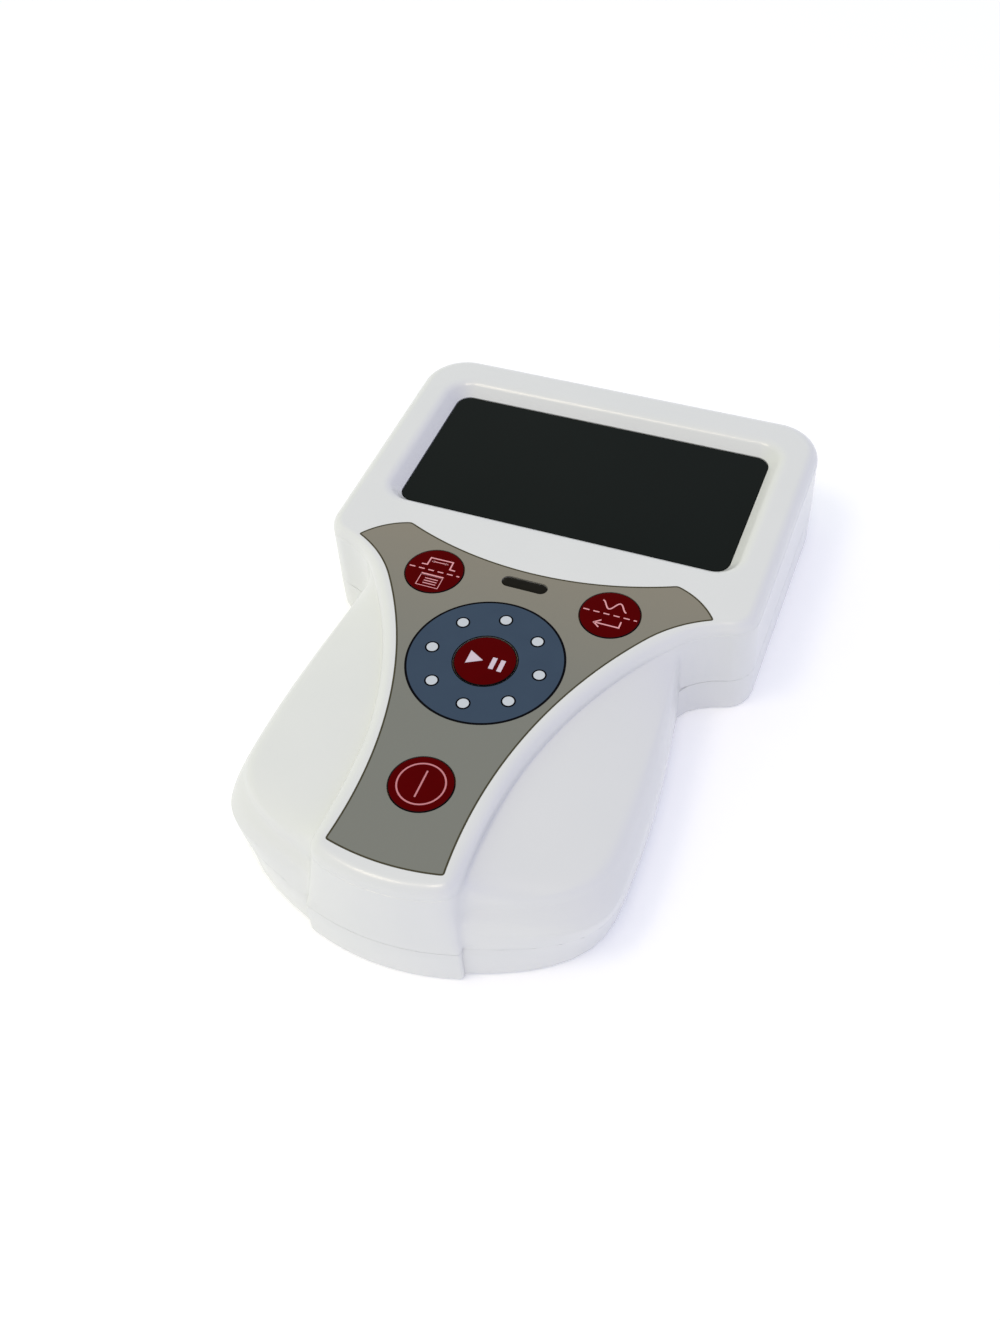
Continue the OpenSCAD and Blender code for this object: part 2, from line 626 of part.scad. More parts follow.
module bottom_shell() color("white") on_datum() difference() {
    union() {
        bottom_skin();
        for (p = CASE_SCREWS) column(p, recess_r + recess_wall, 0.5, parting_z);
        block([-bay_w / 2 - bay_wall, bay_near - bay_wall, floor_t / 2],
            [bay_w / 2 + bay_wall, bay_far + bay_wall, bay_roof + bay_roof_t]);
        for (s = [-1, 1]) translate([s * (door_w / 2 + door_pin_l / 2 + 1), hinge_y, 0.5]) {
            block([-door_pin_l / 2 - 1, -2.2, 0], [door_pin_l / 2 + 1, 2.2, hinge_z + 1.4]);
        }
    }
    block([-bay_w / 2, bay_near, -1], [bay_w / 2, bay_far, bay_roof]);
    block([-door_w / 2, door_near, -1], [door_w / 2, hinge_y + door_roll_r + 0.4, door_top + 0.2]);
    block([-door_w / 2, hinge_y - door_roll_r - 0.3, -1],
        [door_w / 2, hinge_y + door_roll_r + 0.4, hinge_z + door_roll_r + 0.4]);
    translate([-door_w / 2 - door_pin_l - 0.2, hinge_y, hinge_z]) rotate([0, 90, 0]) {
        cylinder(r = door_pin_r + pin_gap, h = door_w + 2 * door_pin_l + 0.4);
    }
    translate([0, door_near - 0.5, -1]) linear_extrude(door_top + 1.2) slot_2d(thumb_w, 2 * thumb_d);
    for (x = [CELL_X[0], CELL_X[cells - 1]]) {
        block([x - tab_w / 2 - 0.2, bay_far - 0.5, tab_z - 0.8],
            [x + tab_w / 2 + 0.2, bay_far + bay_wall + 1, tab_z + 1.6]);
    }
    for (p = CASE_SCREWS) {
        column(p, recess_r, -1, screw_recess);
        column(p, screw_r + 0.25, screw_recess - 1, parting_z + 1);
    }
    for (p = FAR_BOSSES) translate([p.x, p.y, parting_z]) {
        block([-boss_r - 0.5, -boss_r, 0], [boss_r + 0.5, boss_r + 2, lip_h + 1]);
    }
    nose_cut();
    block([-socket_w / 2 - 0.3, board_far - 2, board_under - socket_h - 0.3],
        [socket_w / 2 + 0.3, head_reach - wall, board_under]);
}

// One ring of the bottom shell, with the tail's corner r, drawn in by d
function base_row(z, r, d) = level(drawn_in(plan(z, tuck(z), r), drafted(z) + d), z);

module bottom_skin() {
    gap = wall + lip_gap;
    fillet = [for (a = [0, 30, 60, 90]) [base_fillet * (1 - cos(a)), base_fillet * (1 - sin(a))]];
    loft(concat(
        [for (s = fillet) base_row(s[0], tail_foot_r + 1.2 * s[1], s[1])],
        [for (z = [band_z, parting_z]) base_row(z, corner_r(z), 0)],
        [for (z = [parting_z, parting_z + lip_h]) base_row(z, inner_corner, gap)],
        [for (z = [parting_z + lip_h, floor_t]) base_row(z, inner_corner, gap + lip_t)]));
}

module battery_door() color("white") on_datum() difference() {
    w = door_w - 2 * door_gap;
    near = door_near + door_gap;
    union() {
        block([-w / 2, near, door_z], [w / 2, hinge_y, door_top]);
        translate([-w / 2, hinge_y, hinge_z]) rotate([0, 90, 0]) cylinder(r = door_roll_r, h = w);
        translate([-w / 2 - door_pin_l, hinge_y, hinge_z]) rotate([0, 90, 0]) {
            cylinder(r = door_pin_r, h = w + 2 * door_pin_l);
        }
        for (x = [-w / 4, w / 4]) block([x - 0.5, near + 9, door_top - 0.5], [x + 0.5, hinge_y - 9, door_top]);
    }
    for (s = [-1, 1]) translate([s * tongue_half, near - 1, -1]) cube([slit_w, 9, door_top + 2]);
    for (i = [0:3]) translate([0, near + 1.6 + 1.5 * i, door_z]) rotate([0, 90, 0]) {
        cylinder(r = 0.4, h = 2 * tongue_half - 4, center = true);
    }
}

module display_window() color([0.07, 0.08, 0.08]) on_datum() at_window() {
    plate(window_w, window_l, window_r, window_top - window_t, window_top);
}

module window_tape() color([0.15, 0.15, 0.15]) on_datum() at_window() difference() {
    plate(window_w, window_l, window_r, ledge_top, ledge_top + tape_t);
    plate(window_w - 2 * ledge_w, window_l - 2 * ledge_w, window_r, ledge_top - 1, ledge_top + tape_t + 1);
}

module display_gasket() color([0.2, 0.2, 0.2]) on_datum() at_window() difference() {
    plate(window_w + 2 * wall, window_l + 2 * wall, window_r + wall, lcd_top, ledge_under);
    plate(window_w - 2 * ledge_w, window_l - 2 * ledge_w, window_r, lcd_top - 1, ledge_under + 1);
}

// Pressed frame that holds glass and backlight down on the board
module lcd_frame() color("silver") on_datum() at_window() difference() {
    plate(lcd_w, lcd_l, 1, board_top, lcd_top);
    plate(lcd_w - 2 * lcd_sheet, lcd_l - 2 * lcd_sheet, 0.6, board_top - 1, lcd_top - lcd_sheet);
    plate(window_w - 2 * ledge_w, window_l - 2 * ledge_w, 1, board_top - 1, lcd_top + 1);
}

module lcd_glass() color([0.2, 0.25, 0.22]) on_datum() at_window() {
    w = lcd_w - 2 * lcd_sheet - 2 * fit_gap;
    l = lcd_l - 2 * lcd_sheet - 2 * fit_gap;
    plate(w, l, 0.4, board_top + backlight_t, lcd_top - lcd_sheet);
}

module lcd_backlight() color("white") on_datum() at_window() {
    w = lcd_w - 2 * lcd_sheet - 2 * fit_gap;
    l = lcd_l - 2 * lcd_sheet - 2 * fit_gap;
    plate(w, l, 0.4, board_top, board_top + backlight_t);
}

module keypad_overlay() color([0.52, 0.51, 0.47]) on_datum() {
    translate([0, 0, housing_h - overlay_t]) linear_extrude(overlay_t) difference() {
        overlay_2d(0);
        keys_2d(key_r + key_gap);
        status_2d(fit_gap);
    }
}

module keypad_spacer() color("gainsboro") on_datum() {
    translate([0, 0, keypad_floor + circuit_t]) linear_extrude(spacer_t) difference() {
        overlay_2d(-fit_gap);
        keys_2d(key_r + key_gap + 0.1);
        status_2d(fit_gap);
    }
}

module keypad_circuit() color("khaki") on_datum() {
    translate([0, 0, keypad_floor]) linear_extrude(circuit_t) difference() {
        overlay_2d(-fit_gap);
        status_2d(fit_gap);
    }
}

// Sprung metal discs under the keys
module snap_domes() color("silver") on_datum() {
    crown_r = (dome_r * dome_r + dome_h * dome_h) / (2 * dome_h);
    outer = [for (i = [0:6]) let (x = dome_r * i / 6) [x, sqrt(crown_r * crown_r - x * x) - crown_r + dome_h]];
    inner = [for (i = [6:-1:0]) let (x = (dome_r - 0.2) * i / 6) [x, max(0, outer[i].y - dome_t)]];
    for (p = KEYS) translate([p.x, p.y, keypad_floor + circuit_t]) {
        rotate_extrude() polygon(concat(outer, inner));
    }
}

// Round key with a low pip that meets the dome at the end of its travel
module round_key(p) {
    edge = 0.5;
    pip_r = key_r / 4;
    pip_h = spacer_t - dome_h - key_travel - 0.02;
    color([0.35, 0.02, 0.04]) on_datum() translate([p.x, p.y, housing_h - overlay_t]) rotate_extrude() {
        polygon([[0, -pip_h], [pip_r, -pip_h], [pip_r, 0], [key_r, 0], [key_r, overlay_t],
            [key_r - edge, overlay_t + key_crown * 0.7], [key_r / 2, overlay_t + key_crown * 0.95],
            [0, overlay_t + key_crown]]);
    }
}

module menu_key() round_key(KEYS[0]);
module enter_key() round_key(KEYS[1]);
module start_pause_key() round_key(KEYS[2]);
module power_key() round_key(KEYS[3]);

// Smoked light pipe with a flange under the deck
module status_lens() color([0.12, 0.11, 0.09]) on_datum() {
    flange = 0.8;
    translate([0, 0, board_top + 1.6]) linear_extrude(housing_h - 0.05 - board_top - 1.6) status_2d(0);
    translate([0, 0, deck_under - 1]) linear_extrude(1) status_2d(flange);
}

module status_led() color("ivory") on_datum() translate([0, status_ahead, 0]) {
    plate(3.4, 2.6, 0.3, board_top, board_top + 0.9);
    plate(2.4, 1.8, 0.5, board_top, board_top + 1.3);
}

// Ribbon from the keypad's circuit down to the board
module keypad_tail() color("peru") on_datum() {
    block([tail_x - tail_w / 2, ribbon_y - 0.15, board_top + 1],
        [tail_x + tail_w / 2, ribbon_y + 0.15, keypad_floor]);
}

module keypad_connector() color("ivory") on_datum() difference() {
    translate([tail_x, ribbon_y, 0]) plate(tail_w + 3, connector_l, 0.4, board_top, board_top + 3.5);
    block([tail_x - tail_w / 2 - 0.1, ribbon_y - 0.25, board_top + 1],
        [tail_x + tail_w / 2 + 0.1, ribbon_y + 0.25, board_top + 5]);
}

module main_board() color([0.06, 0.36, 0.2]) on_datum() {
    far_mid = (board_far + board_step) / 2;
    near_mid = (board_step + board_near) / 2 + 2;
    translate([0, 0, board_under]) linear_extrude(board_t) difference() {
        union() {
            translate([0, far_mid]) plate_2d(board_w, board_far - board_step, far_corner_r);
            translate([0, board_step + far_corner_r]) square([board_w, 2 * far_corner_r], center = true);
            translate([0, near_mid]) plate_2d(tongue_w, board_step - board_near + 4, 2);
        }
        for (p = BOARD_SCREWS) translate(p) circle(screw_r + 0.15);
        for (p = FAR_BOSSES) translate(p) {
            circle(boss_r + boss_gap);
            translate([-rib_t / 2 - boss_gap, 0]) square([rib_t + 2 * boss_gap, 2 * boss_r + wall]);
        }
    }
}

// Places a part under the board, hung from its lower face
module under_board(p) {
    translate([p.x, p.y, board_under]) rotate([180, 0, 0]) children();
}

module microcontroller() color([0.12, 0.12, 0.13]) on_datum() under_board(CHIP) {
    plate(chip_w, chip_w, 0.4, 0.15, 1.5);
    for (turn = [0:90:270], i = [-5:5]) rotate(turn) {
        translate([i * 0.075 * chip_w, chip_w / 2 + 0.4, 0.25]) cube([0.4, 1.4, 0.5], center = true);
    }
}

module transformer_core() color([0.25, 0.25, 0.27]) on_datum() under_board(CORE) difference() {
    plate(core_w, core_l, 0.6, 0.3, core_h);
    plate(core_w - 5, core_l - 4, 0.4, 1.8, core_h + 1);
}

module transformer_winding() color([0.72, 0.45, 0.2]) on_datum() under_board(CORE) {
    r = winding_r;
    h = core_h - 2.3;
    translate([0, 0, 1.8]) rotate_extrude() {
        polygon([[0, 0], [r, 0], [r, 0.8], [r - 0.6, 1.1], [r - 0.6, h - 1.1], [r, h - 0.8], [r, h], [0, h]]);
    }
}

module reservoir_capacitor() color([0.15, 0.17, 0.3]) on_datum() {
    r = can_r;
    l = can_l;
    translate([-0.57 * l, CAN_Y, board_under - r - 0.1]) rotate([0, 90, 0]) rotate_extrude() {
        polygon([[0, 0], [r - 0.4, 0], [r, 0.4], [r, 1.6], [r - 0.3, 2], [r, 2.4], [r, l - 0.4],
            [r - 0.4, l], [0, l]]);
    }
}

module boost_inductor() color([0.3, 0.3, 0.32]) on_datum() under_board(DRUM) {
    r = drum_r;
    h = drum_h;
    rotate_extrude() {
        polygon([[0, 0], [r, 0], [r, 1], [r - 1.4, 1.2], [r - 1.4, h - 1.2], [r, h - 1], [r, h], [0, h]]);
    }
}

module buzzer() color([0.1, 0.1, 0.1]) on_datum() under_board(BUZZER) difference() {
    r = buzzer_r;
    h = buzzer_h;
    rotate_extrude() polygon([[0, 0], [r, 0], [r, h - 0.5], [r - 0.5, h], [0, h]]);
    translate([0, 0, h - 1.5]) cylinder(r = 1, h = 2);
}

// Jack socket on the board, its nose in the far wall
module output_socket() color([0.14, 0.14, 0.15]) on_datum() difference() {
    body_l = socket_depth + 1;
    back = head_reach - wall - 0.6 - body_l;
    union() {
        block([-socket_w / 2, back, board_under - socket_h], [socket_w / 2, back + body_l, board_under]);
        translate([0, socket_face, socket_z]) rotate([90, 0, 0]) {
            cylinder(r = nose_r, h = socket_face - back - body_l + 1);
        }
    }
    translate([0, socket_face + 1, socket_z]) rotate([90, 0, 0]) {
        cylinder(r = socket_bore_r, h = socket_depth + 1);
    }
}

// Places a cell's end-on profile in the bay
module at_cell(i) {
    turn = CELL_TURN[i];
    mid_y = -bay_back + turn * spring_l / 2;
    translate([CELL_X[i], mid_y, cell_z]) rotate([turn > 0 ? -90 : 90, 0, 0]) children();
}

module battery_cells() color("goldenrod") on_datum() {
    r = cell_d / 2;
    button = 1;
    for (i = [0:cells - 1]) at_cell(i) translate([0, 0, -cell_l / 2]) rotate_extrude() {
        polygon([[0, 0], [r - 0.4, 0], [r, 0.4], [r, cell_l - button - 0.5], [r - 0.5, cell_l - button],
            [1.9, cell_l - button], [1.9, cell_l - 0.1], [1.7, cell_l], [0, cell_l]]);
    }
}

// Conical contact spring, as points along its wire
function spring_path() =
    let (steps = 12 * spring_turns, free = spring_l - spring_wire - 0.1)
    [for (i = [0:steps]) let (t = i / steps, a = 360 * spring_turns * t, r = (cell_d / 3 + 0.1) * (1 - t / 3))
        [r * cos(a), r * sin(a), spring_wire / 2 + 0.05 + free * t]];
SPRING = spring_path();
SPRING_GAPS = [for (i = [0:len(SPRING) - 9], j = [i + 8:len(SPRING) - 1]) norm(SPRING[i] - SPRING[j])];
echo(spring_least_gap = min(SPRING_GAPS) - spring_wire);

module battery_springs() color("silver") on_datum() {
    for (i = [0:cells - 1]) at_cell(i) translate([0, 0, -cell_l / 2 - spring_l]) tube(SPRING, spring_wire / 2);
}

// Contact plates: pairs at the near end, a pair between two singles at the far end
module battery_plates() color("silver") on_datum() {
    half = 0.4 * cell_d + 0.2;
    low = cell_z - 0.4 * cell_d;
    high = cell_z + 0.4 * cell_d;
    near_y = bay_near + 0.15;
    far_y = bay_far - 0.15;
    for (i = [0:2:cells - 2]) {
        block([CELL_X[i] - half, near_y, low], [CELL_X[i + 1] + half, near_y + plate_t, high]);
    }
    if (cells > 2) for (i = [1:2:cells - 3]) {
        block([CELL_X[i] - half, far_y - plate_t, low], [CELL_X[i + 1] + half, far_y, high]);
    }
    for (x = [CELL_X[0], CELL_X[cells - 1]]) {
        block([x - half, far_y - plate_t, low], [x + half, far_y, high]);
        block([x - tab_w / 2, far_y - plate_t, tab_z],
            [x + tab_w / 2, bay_far + bay_wall + 0.8, tab_z + plate_t]);
    }
}

// Insulated leads from the end contacts to the board
module battery_leads() color("firebrick") on_datum() {
    r = 0.6;
    z0 = tab_z + plate_t + r + 0.02;
    y0 = bay_far + bay_wall;
    for (x = [CELL_X[0], CELL_X[cells - 1]]) {
        tube([[x, y0 + 0.2, z0], [x, y0 + 0.9, z0], [x, y0 + 1.4, z0 - 0.3], [x, y0 + 3, z0 - 0.3],
            [x, board_near + 3, board_under - r - 0.05], [x, board_near + 5, board_under - r - 0.02]], r, 8);
    }
}

// Pan-head screw standing on its tip's side, head down
module screw(l) {
    difference() {
        rotate_extrude() {
            polygon([[0, -screw_head_h], [screw_head_r * 0.6, -screw_head_h],
                [screw_head_r, -screw_head_h * 0.55],
                [screw_head_r, 0], [screw_r, 0], [screw_r, l - 1], [screw_r * 0.4, l], [0, l]]);
        }
        for (turn = [0, 90]) rotate(turn) translate([-1.1, -0.3, -screw_head_h - 1]) cube([2.2, 0.6, 1.8]);
    }
}

module case_screws() color("silver") on_datum() {
    for (p = CASE_SCREWS) translate([p.x, p.y, screw_recess]) screw(case_screw_l);
}

module board_screws() color("silver") on_datum() {
    for (p = BOARD_SCREWS) translate([p.x, p.y, board_under]) screw(board_screw_l);
}

top_shell();
bottom_shell();
battery_door();
display_window();
window_tape();
display_gasket();
lcd_frame();
lcd_glass();
lcd_backlight();
keypad_overlay();
keypad_spacer();
keypad_circuit();
snap_domes();
menu_key();
enter_key();
start_pause_key();
power_key();
status_lens();
status_led();
keypad_tail();
keypad_connector();
main_board();
microcontroller();
transformer_core();
transformer_winding();
reservoir_capacitor();
boost_inductor();
buzzer();
output_socket();
battery_cells();
battery_springs();
battery_plates();
battery_leads();
case_screws();
board_screws();
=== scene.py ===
"""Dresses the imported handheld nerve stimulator: moulded shells, sunk display, printed keypad and underside.

Shapes are worked out in millimetres about the touch ring's centre, with +Y towards the display and z up from
the table, and are moved to the part's own origin and metres as each mesh is built.
"""

import logging
import math
from dataclasses import dataclass, field
from enum import Enum
from typing import Any, Sequence

import bpy
import numpy as np
from mathutils import Matrix, Vector
from mathutils.geometry import tessellate_polygon


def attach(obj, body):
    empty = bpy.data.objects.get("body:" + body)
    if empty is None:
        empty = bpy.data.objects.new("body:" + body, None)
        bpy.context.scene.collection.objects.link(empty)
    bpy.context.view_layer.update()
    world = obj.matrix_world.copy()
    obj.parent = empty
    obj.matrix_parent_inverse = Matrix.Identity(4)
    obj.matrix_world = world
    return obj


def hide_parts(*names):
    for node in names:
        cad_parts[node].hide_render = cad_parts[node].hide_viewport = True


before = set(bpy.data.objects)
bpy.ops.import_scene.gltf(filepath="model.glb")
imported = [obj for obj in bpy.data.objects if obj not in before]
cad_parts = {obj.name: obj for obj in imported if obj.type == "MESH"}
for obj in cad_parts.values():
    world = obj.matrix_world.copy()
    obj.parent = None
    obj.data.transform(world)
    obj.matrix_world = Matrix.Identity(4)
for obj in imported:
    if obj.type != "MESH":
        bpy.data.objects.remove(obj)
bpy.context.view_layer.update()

MM = 0.001
HOUSING = "housing"
log = logging.getLogger("handset")

# Where most of a noise's values lie.
NOISE_RANGE = (0.3, 0.7)
# How much a graded finish's own noise stirs it.
RIPPLE = 0.12
# A brushed streak's length in grains, and how many times longer than wide it is.
STREAK_LENGTH, STREAK_ASPECT = 5.0, 25.0
# Length of one band of the wave texture at a scale of 1.
BAND_PERIOD = 0.314
# A track's width as a share of the board's pattern.
TRACK_SHARE = 0.06
# Least cosine that a stroke's mitred corner takes into account.
MITRE_LIMIT = 0.4
# Triangles with less than this doubled area, in square millimetres, are dropped.
SLIVER = 1e-9
# Decimal places of a millimetre to which points are welded.
WELD_DIGITS = 4

# A patch's points and its faces by point number.
Patch = tuple[np.ndarray, np.ndarray]


# Finishes


def linear(code: str) -> tuple[float, float, float, float]:
    """Turns an sRGB hex colour into linear RGBA.

    Args:
        code: six hex digits, such as "dfe0de".

    Returns:
        Linear red, green, blue and an alpha of 1.
    """
    srgb = np.array([int(code[i : i + 2], 16) for i in (0, 2, 4)]) / 255.0
    value = np.where(srgb <= 0.04045, srgb / 12.92, ((srgb + 0.055) / 1.055) ** 2.4)
    return (float(value[0]), float(value[1]), float(value[2]), 1.0)


def add(tree: bpy.types.NodeTree, kind: str, links: dict[Any, Any] | None = None, **settings: Any) -> bpy.types.Node:
    """Adds a shader node with its settings, input values and links.

    Args:
        tree: the material's node tree.
        kind: the node's type name.
        links: input name or number to a value, or to the socket that feeds it.
        **settings: properties of the node.

    Returns:
        The new node.
    """
    node = tree.nodes.new(kind)
    for name, value in settings.items():
        setattr(node, name, value)
    for name, value in (links or {}).items():
        if isinstance(value, bpy.types.NodeSocket):
            tree.links.new(value, node.inputs[name])
        else:
            node.inputs[name].default_value = value
    return node


class Pattern(Enum):
    """How a finish's second colour is laid over its first."""

    MOTTLED = "cloudy, the same in every direction"
    GRADED = "running from one end of the piece to the other"
    BRUSHED = "fine streaks across the piece"
    BANDED = "even bands along the piece"
    TRACED = "straight tracks and pads"


@dataclass(frozen=True)
class Finish:
    """A procedural surface: two colours in a pattern, with its own roughness and relief.

    Sizes are in millimetres. grain is the width of one patch of the pattern, and relief_grain that of one bump.
    """

    name: str
    colour: str
    shade: str
    grain: float
    roughness: tuple[float, float]
    relief: float = 0.0
    relief_grain: float = 0.3
    metallic: float = 0.0
    ior: float = 1.5
    specular: float = 0.5
    coat: float = 0.0
    coat_roughness: float = 0.12
    glow: float = 0.0
    span: tuple[float, float] = (-40.0, 30.0)
    pattern: Pattern = Pattern.MOTTLED

    def material(self) -> bpy.types.Material:
        """Makes the finish's material on its first use.

        Returns:
            The material.
        """
        known = bpy.data.materials.get(self.name)
        if known is not None:
            return known
        made = bpy.data.materials.new(self.name)
        made.use_nodes = True
        tree = made.node_tree
        tree.nodes.clear()
        place = add(tree, "ShaderNodeTexCoord").outputs["Object"]
        cloud = add(tree, "ShaderNodeTexNoise", {"Vector": place, "Scale": 1 / (self.grain * MM), "Detail": 3.0})
        blend = add(tree, "ShaderNodeMix", {0: self._factor(tree, place, cloud), 6: linear(self.colour),
                                            7: linear(self.shade)}, data_type="RGBA")
        gloss = add(tree, "ShaderNodeMapRange", {
            "Value": cloud.outputs["Fac"], "From Min": NOISE_RANGE[0], "From Max": NOISE_RANGE[1],
            "To Min": self.roughness[0], "To Max": self.roughness[1]})
        shader = add(tree, "ShaderNodeBsdfPrincipled", {
            "Base Color": blend.outputs[2], "Roughness": gloss.outputs["Result"], "Metallic": self.metallic,
            "IOR": self.ior, "Specular IOR Level": self.specular, "Coat Weight": self.coat,
            "Coat Roughness": self.coat_roughness, "Emission Color": linear(self.colour),
            "Emission Strength": self.glow})
        if self.relief > 0:
            grit = add(tree, "ShaderNodeTexNoise",
                       {"Vector": place, "Scale": 1 / (self.relief_grain * MM), "Detail": 2.0})
            bump = add(tree, "ShaderNodeBump", {"Height": grit.outputs["Fac"], "Distance": self.relief * MM,
                                                "Strength": 1.0})
            tree.links.new(bump.outputs["Normal"], shader.inputs["Normal"])
        add(tree, "ShaderNodeOutputMaterial", {"Surface": shader.outputs["BSDF"]})
        return made

    def _factor(self, tree: bpy.types.NodeTree, place: bpy.types.NodeSocket,
                cloud: bpy.types.Node) -> bpy.types.NodeSocket:
        """Returns the socket that says how much of the shade shows at each point.

        Args:
            tree: the material's node tree.
            place: object coordinates in metres.
            cloud: the finish's own noise.

        Returns:
            A value from 0, all colour, to 1, all shade.
        """
        if self.pattern is Pattern.MOTTLED:
            return cloud.outputs["Fac"]
        if self.pattern is Pattern.GRADED:
            # Colour at one end grading to shade at the other along Y; on the overlay this grading is painted light
            # and shade.
            axes = add(tree, "ShaderNodeSeparateXYZ", {"Vector": place})
            run = add(tree, "ShaderNodeMapRange", {"Value": axes.outputs["Y"], "From Min": self.span[1] * MM,
                                                   "From Max": self.span[0] * MM}, interpolation_type="SMOOTHSTEP")
            ripple = add(tree, "ShaderNodeMath", {0: cloud.outputs["Fac"], 1: RIPPLE, 2: run.outputs["Result"]},
                         operation="MULTIPLY_ADD")
            return ripple.outputs["Value"]
        if self.pattern is Pattern.BRUSHED:
            lay = add(tree, "ShaderNodeMapping", {"Vector": place, "Scale": (1.0, STREAK_ASPECT, STREAK_ASPECT)})
            streak = add(tree, "ShaderNodeTexNoise", {
                "Vector": lay.outputs["Vector"], "Scale": 1 / (STREAK_LENGTH * self.grain * MM), "Detail": 4.0})
            return streak.outputs["Fac"]
        if self.pattern is Pattern.BANDED:
            # On the copper winding the darker bands are painted shade between the turns.
            wave = add(tree, "ShaderNodeTexWave", {"Vector": place, "Scale": BAND_PERIOD / (self.grain * MM),
                                                   "Distortion": 0.4, "Detail": 1.0},
                       bands_direction="Y", wave_profile="SIN")
            return wave.outputs["Fac"]
        track = add(tree, "ShaderNodeTexBrick", {
            "Vector": place, "Scale": 1 / (self.grain * MM), "Mortar Size": TRACK_SHARE, "Color1": (0, 0, 0, 1),
            "Color2": (0, 0, 0, 1), "Mortar": (1, 1, 1, 1)})
        return track.outputs["Color"]


class Finishes:
    """Every finish on the handset, named for the real material; a few also carry painted shade, as their comments
    say.
    """

    # Spark-eroded ABS: a soft satin white whose grit only shows where light grazes it. The grit is drawn at twice
    # its real size so that it shows at all.
    SHELL = Finish("moulded_abs_white", "dddddb", "d8d9d7", 14.0, (0.34, 0.4), relief=0.004, relief_grain=0.35,
                   ior=1.53, coat=0.5)
    # Smoked acrylic over a display that is off: near black with a green cast, polished and faintly hazy.
    WINDOW = Finish("smoked_acrylic", "131715", "161a18", 30.0, (0.12, 0.18), ior=1.49, specular=0.05)
    # Polyester film printed on its back in a warm grey taupe, with a satin grain. Its grading to a darker, cooler
    # grey towards the tail is painted shade, with the lighter, warmer head end painted light.
    OVERLAY = Finish("printed_polyester_taupe_painted_shade", "8b8475", "7b7c74", 3.0, (0.45, 0.55), relief=0.003,
                     relief_grain=0.25, specular=0.08, pattern=Pattern.GRADED)
    # Screen inks seen through the same film: flat colours with the slight cloudiness of a hand-pulled print.
    BLACK_INK = Finish("screen_ink_black", "05060a", "0a0b10", 2.0, (0.42, 0.52), specular=0.02)
    # The olive line round the film's edge: partly a printed border, partly painted shade in the seam between the film
    # and its recess.
    EDGE_INK_AND_SEAM_SHADE = Finish("screen_ink_olive_and_seam_shade", "4b4632", "3c3928", 2.0, (0.45, 0.55), specular=0.1)
    SLATE_INK = Finish("screen_ink_slate", "3a4a5c", "354456", 5.0, (0.42, 0.5), relief=0.003, relief_grain=0.25,
                       specular=0.1)
    WHITE_INK = Finish("screen_ink_white", "c8cdd1", "c0c5ca", 1.0, (0.42, 0.5), specular=0.1)
    PINK_INK = Finish("screen_ink_pink", "e6a4a8", "dc989d", 0.8, (0.42, 0.5), specular=0.05)
    ROSE_INK = Finish("screen_ink_rose", "cb858b", "c17a80", 0.8, (0.42, 0.5), specular=0.05)
    PALE_INK = Finish("screen_ink_pale", "d3c3ce", "c9b8c4", 0.8, (0.42, 0.5), specular=0.05)
    # Red ink on the domed key areas: deep and slightly uneven, as a translucent red over grey looks.
    KEY_RED = Finish("screen_ink_deep_red", "560103", "4d0102", 4.0, (0.4, 0.48), relief=0.002, relief_grain=0.25,
                     specular=0.01)
    # Smoked polycarbonate light pipe: dark brown, polished on top.
    LENS = Finish("smoked_polycarbonate", "15130e", "1c1a14", 1.6, (0.2, 0.3), ior=1.58, specular=0.04)
    # Nickel-plated steel: bright with a fine drawn grain.
    STEEL = Finish("nickel_plated_steel", "c9c9c4", "a9a9a4", 0.3, (0.22, 0.38), relief=0.002, relief_grain=0.1,
                   metallic=1.0, pattern=Pattern.BRUSHED)
    # Shrink sleeve on the cells: glossy, in two broad bands.
    SLEEVE = Finish("cell_shrink_sleeve", "c79a2b", "23252a", 44.0, (0.18, 0.26), coat=0.4, pattern=Pattern.BANDED)
    # Epoxy-glass board under green lacquer: a satin gloss, with paler tracks.
    BOARD = Finish("lacquered_epoxy_glass", "0f5a33", "2f7f52", 6.0, (0.3, 0.42), relief=0.01, relief_grain=0.6,
                   coat=0.3, pattern=Pattern.TRACED)
    # Black moulding compound on chips, buzzer and socket: dull with a fine grit.
    COMPOUND = Finish("moulding_compound_black", "1b1b1d", "242427", 1.2, (0.5, 0.62), relief=0.006,
                      relief_grain=0.2)
    # Sintered ferrite: dark grey and slightly sparkling.
    FERRITE = Finish("sintered_ferrite", "3c3c40", "55555a", 0.4, (0.42, 0.6), relief=0.008, relief_grain=0.25)
    # Enamelled copper wire, wound in close turns: warm copper bands with darker bands between them, which are painted
    # shade in the gaps between the turns.
    COPPER = Finish("enamelled_copper", "b4682c", "7d401a", 0.5, (0.25, 0.35), metallic=1.0, pattern=Pattern.BANDED)
    # Aluminium can in a printed sleeve: dark blue with a smooth sheen.
    CAN = Finish("sleeved_aluminium_can", "272c4a", "343a5e", 5.0, (0.25, 0.35), coat=0.3)
    # Closed-cell foam: matt black with open pores.
    FOAM = Finish("closed_cell_foam", "1e1e1e", "2b2b2b", 0.6, (0.8, 0.92), relief=0.04, relief_grain=0.5)
    # Clear and amber films inside the keypad: glossy sheets, the amber one banded by its tracks.
    CLEAR_FILM = Finish("clear_polyester", "d7d8d4", "cbccc8", 8.0, (0.25, 0.35), coat=0.2)
    AMBER_FILM = Finish("polyimide_film", "b57f35", "9c6a28", 2.4, (0.2, 0.3), coat=0.3, pattern=Pattern.BANDED)
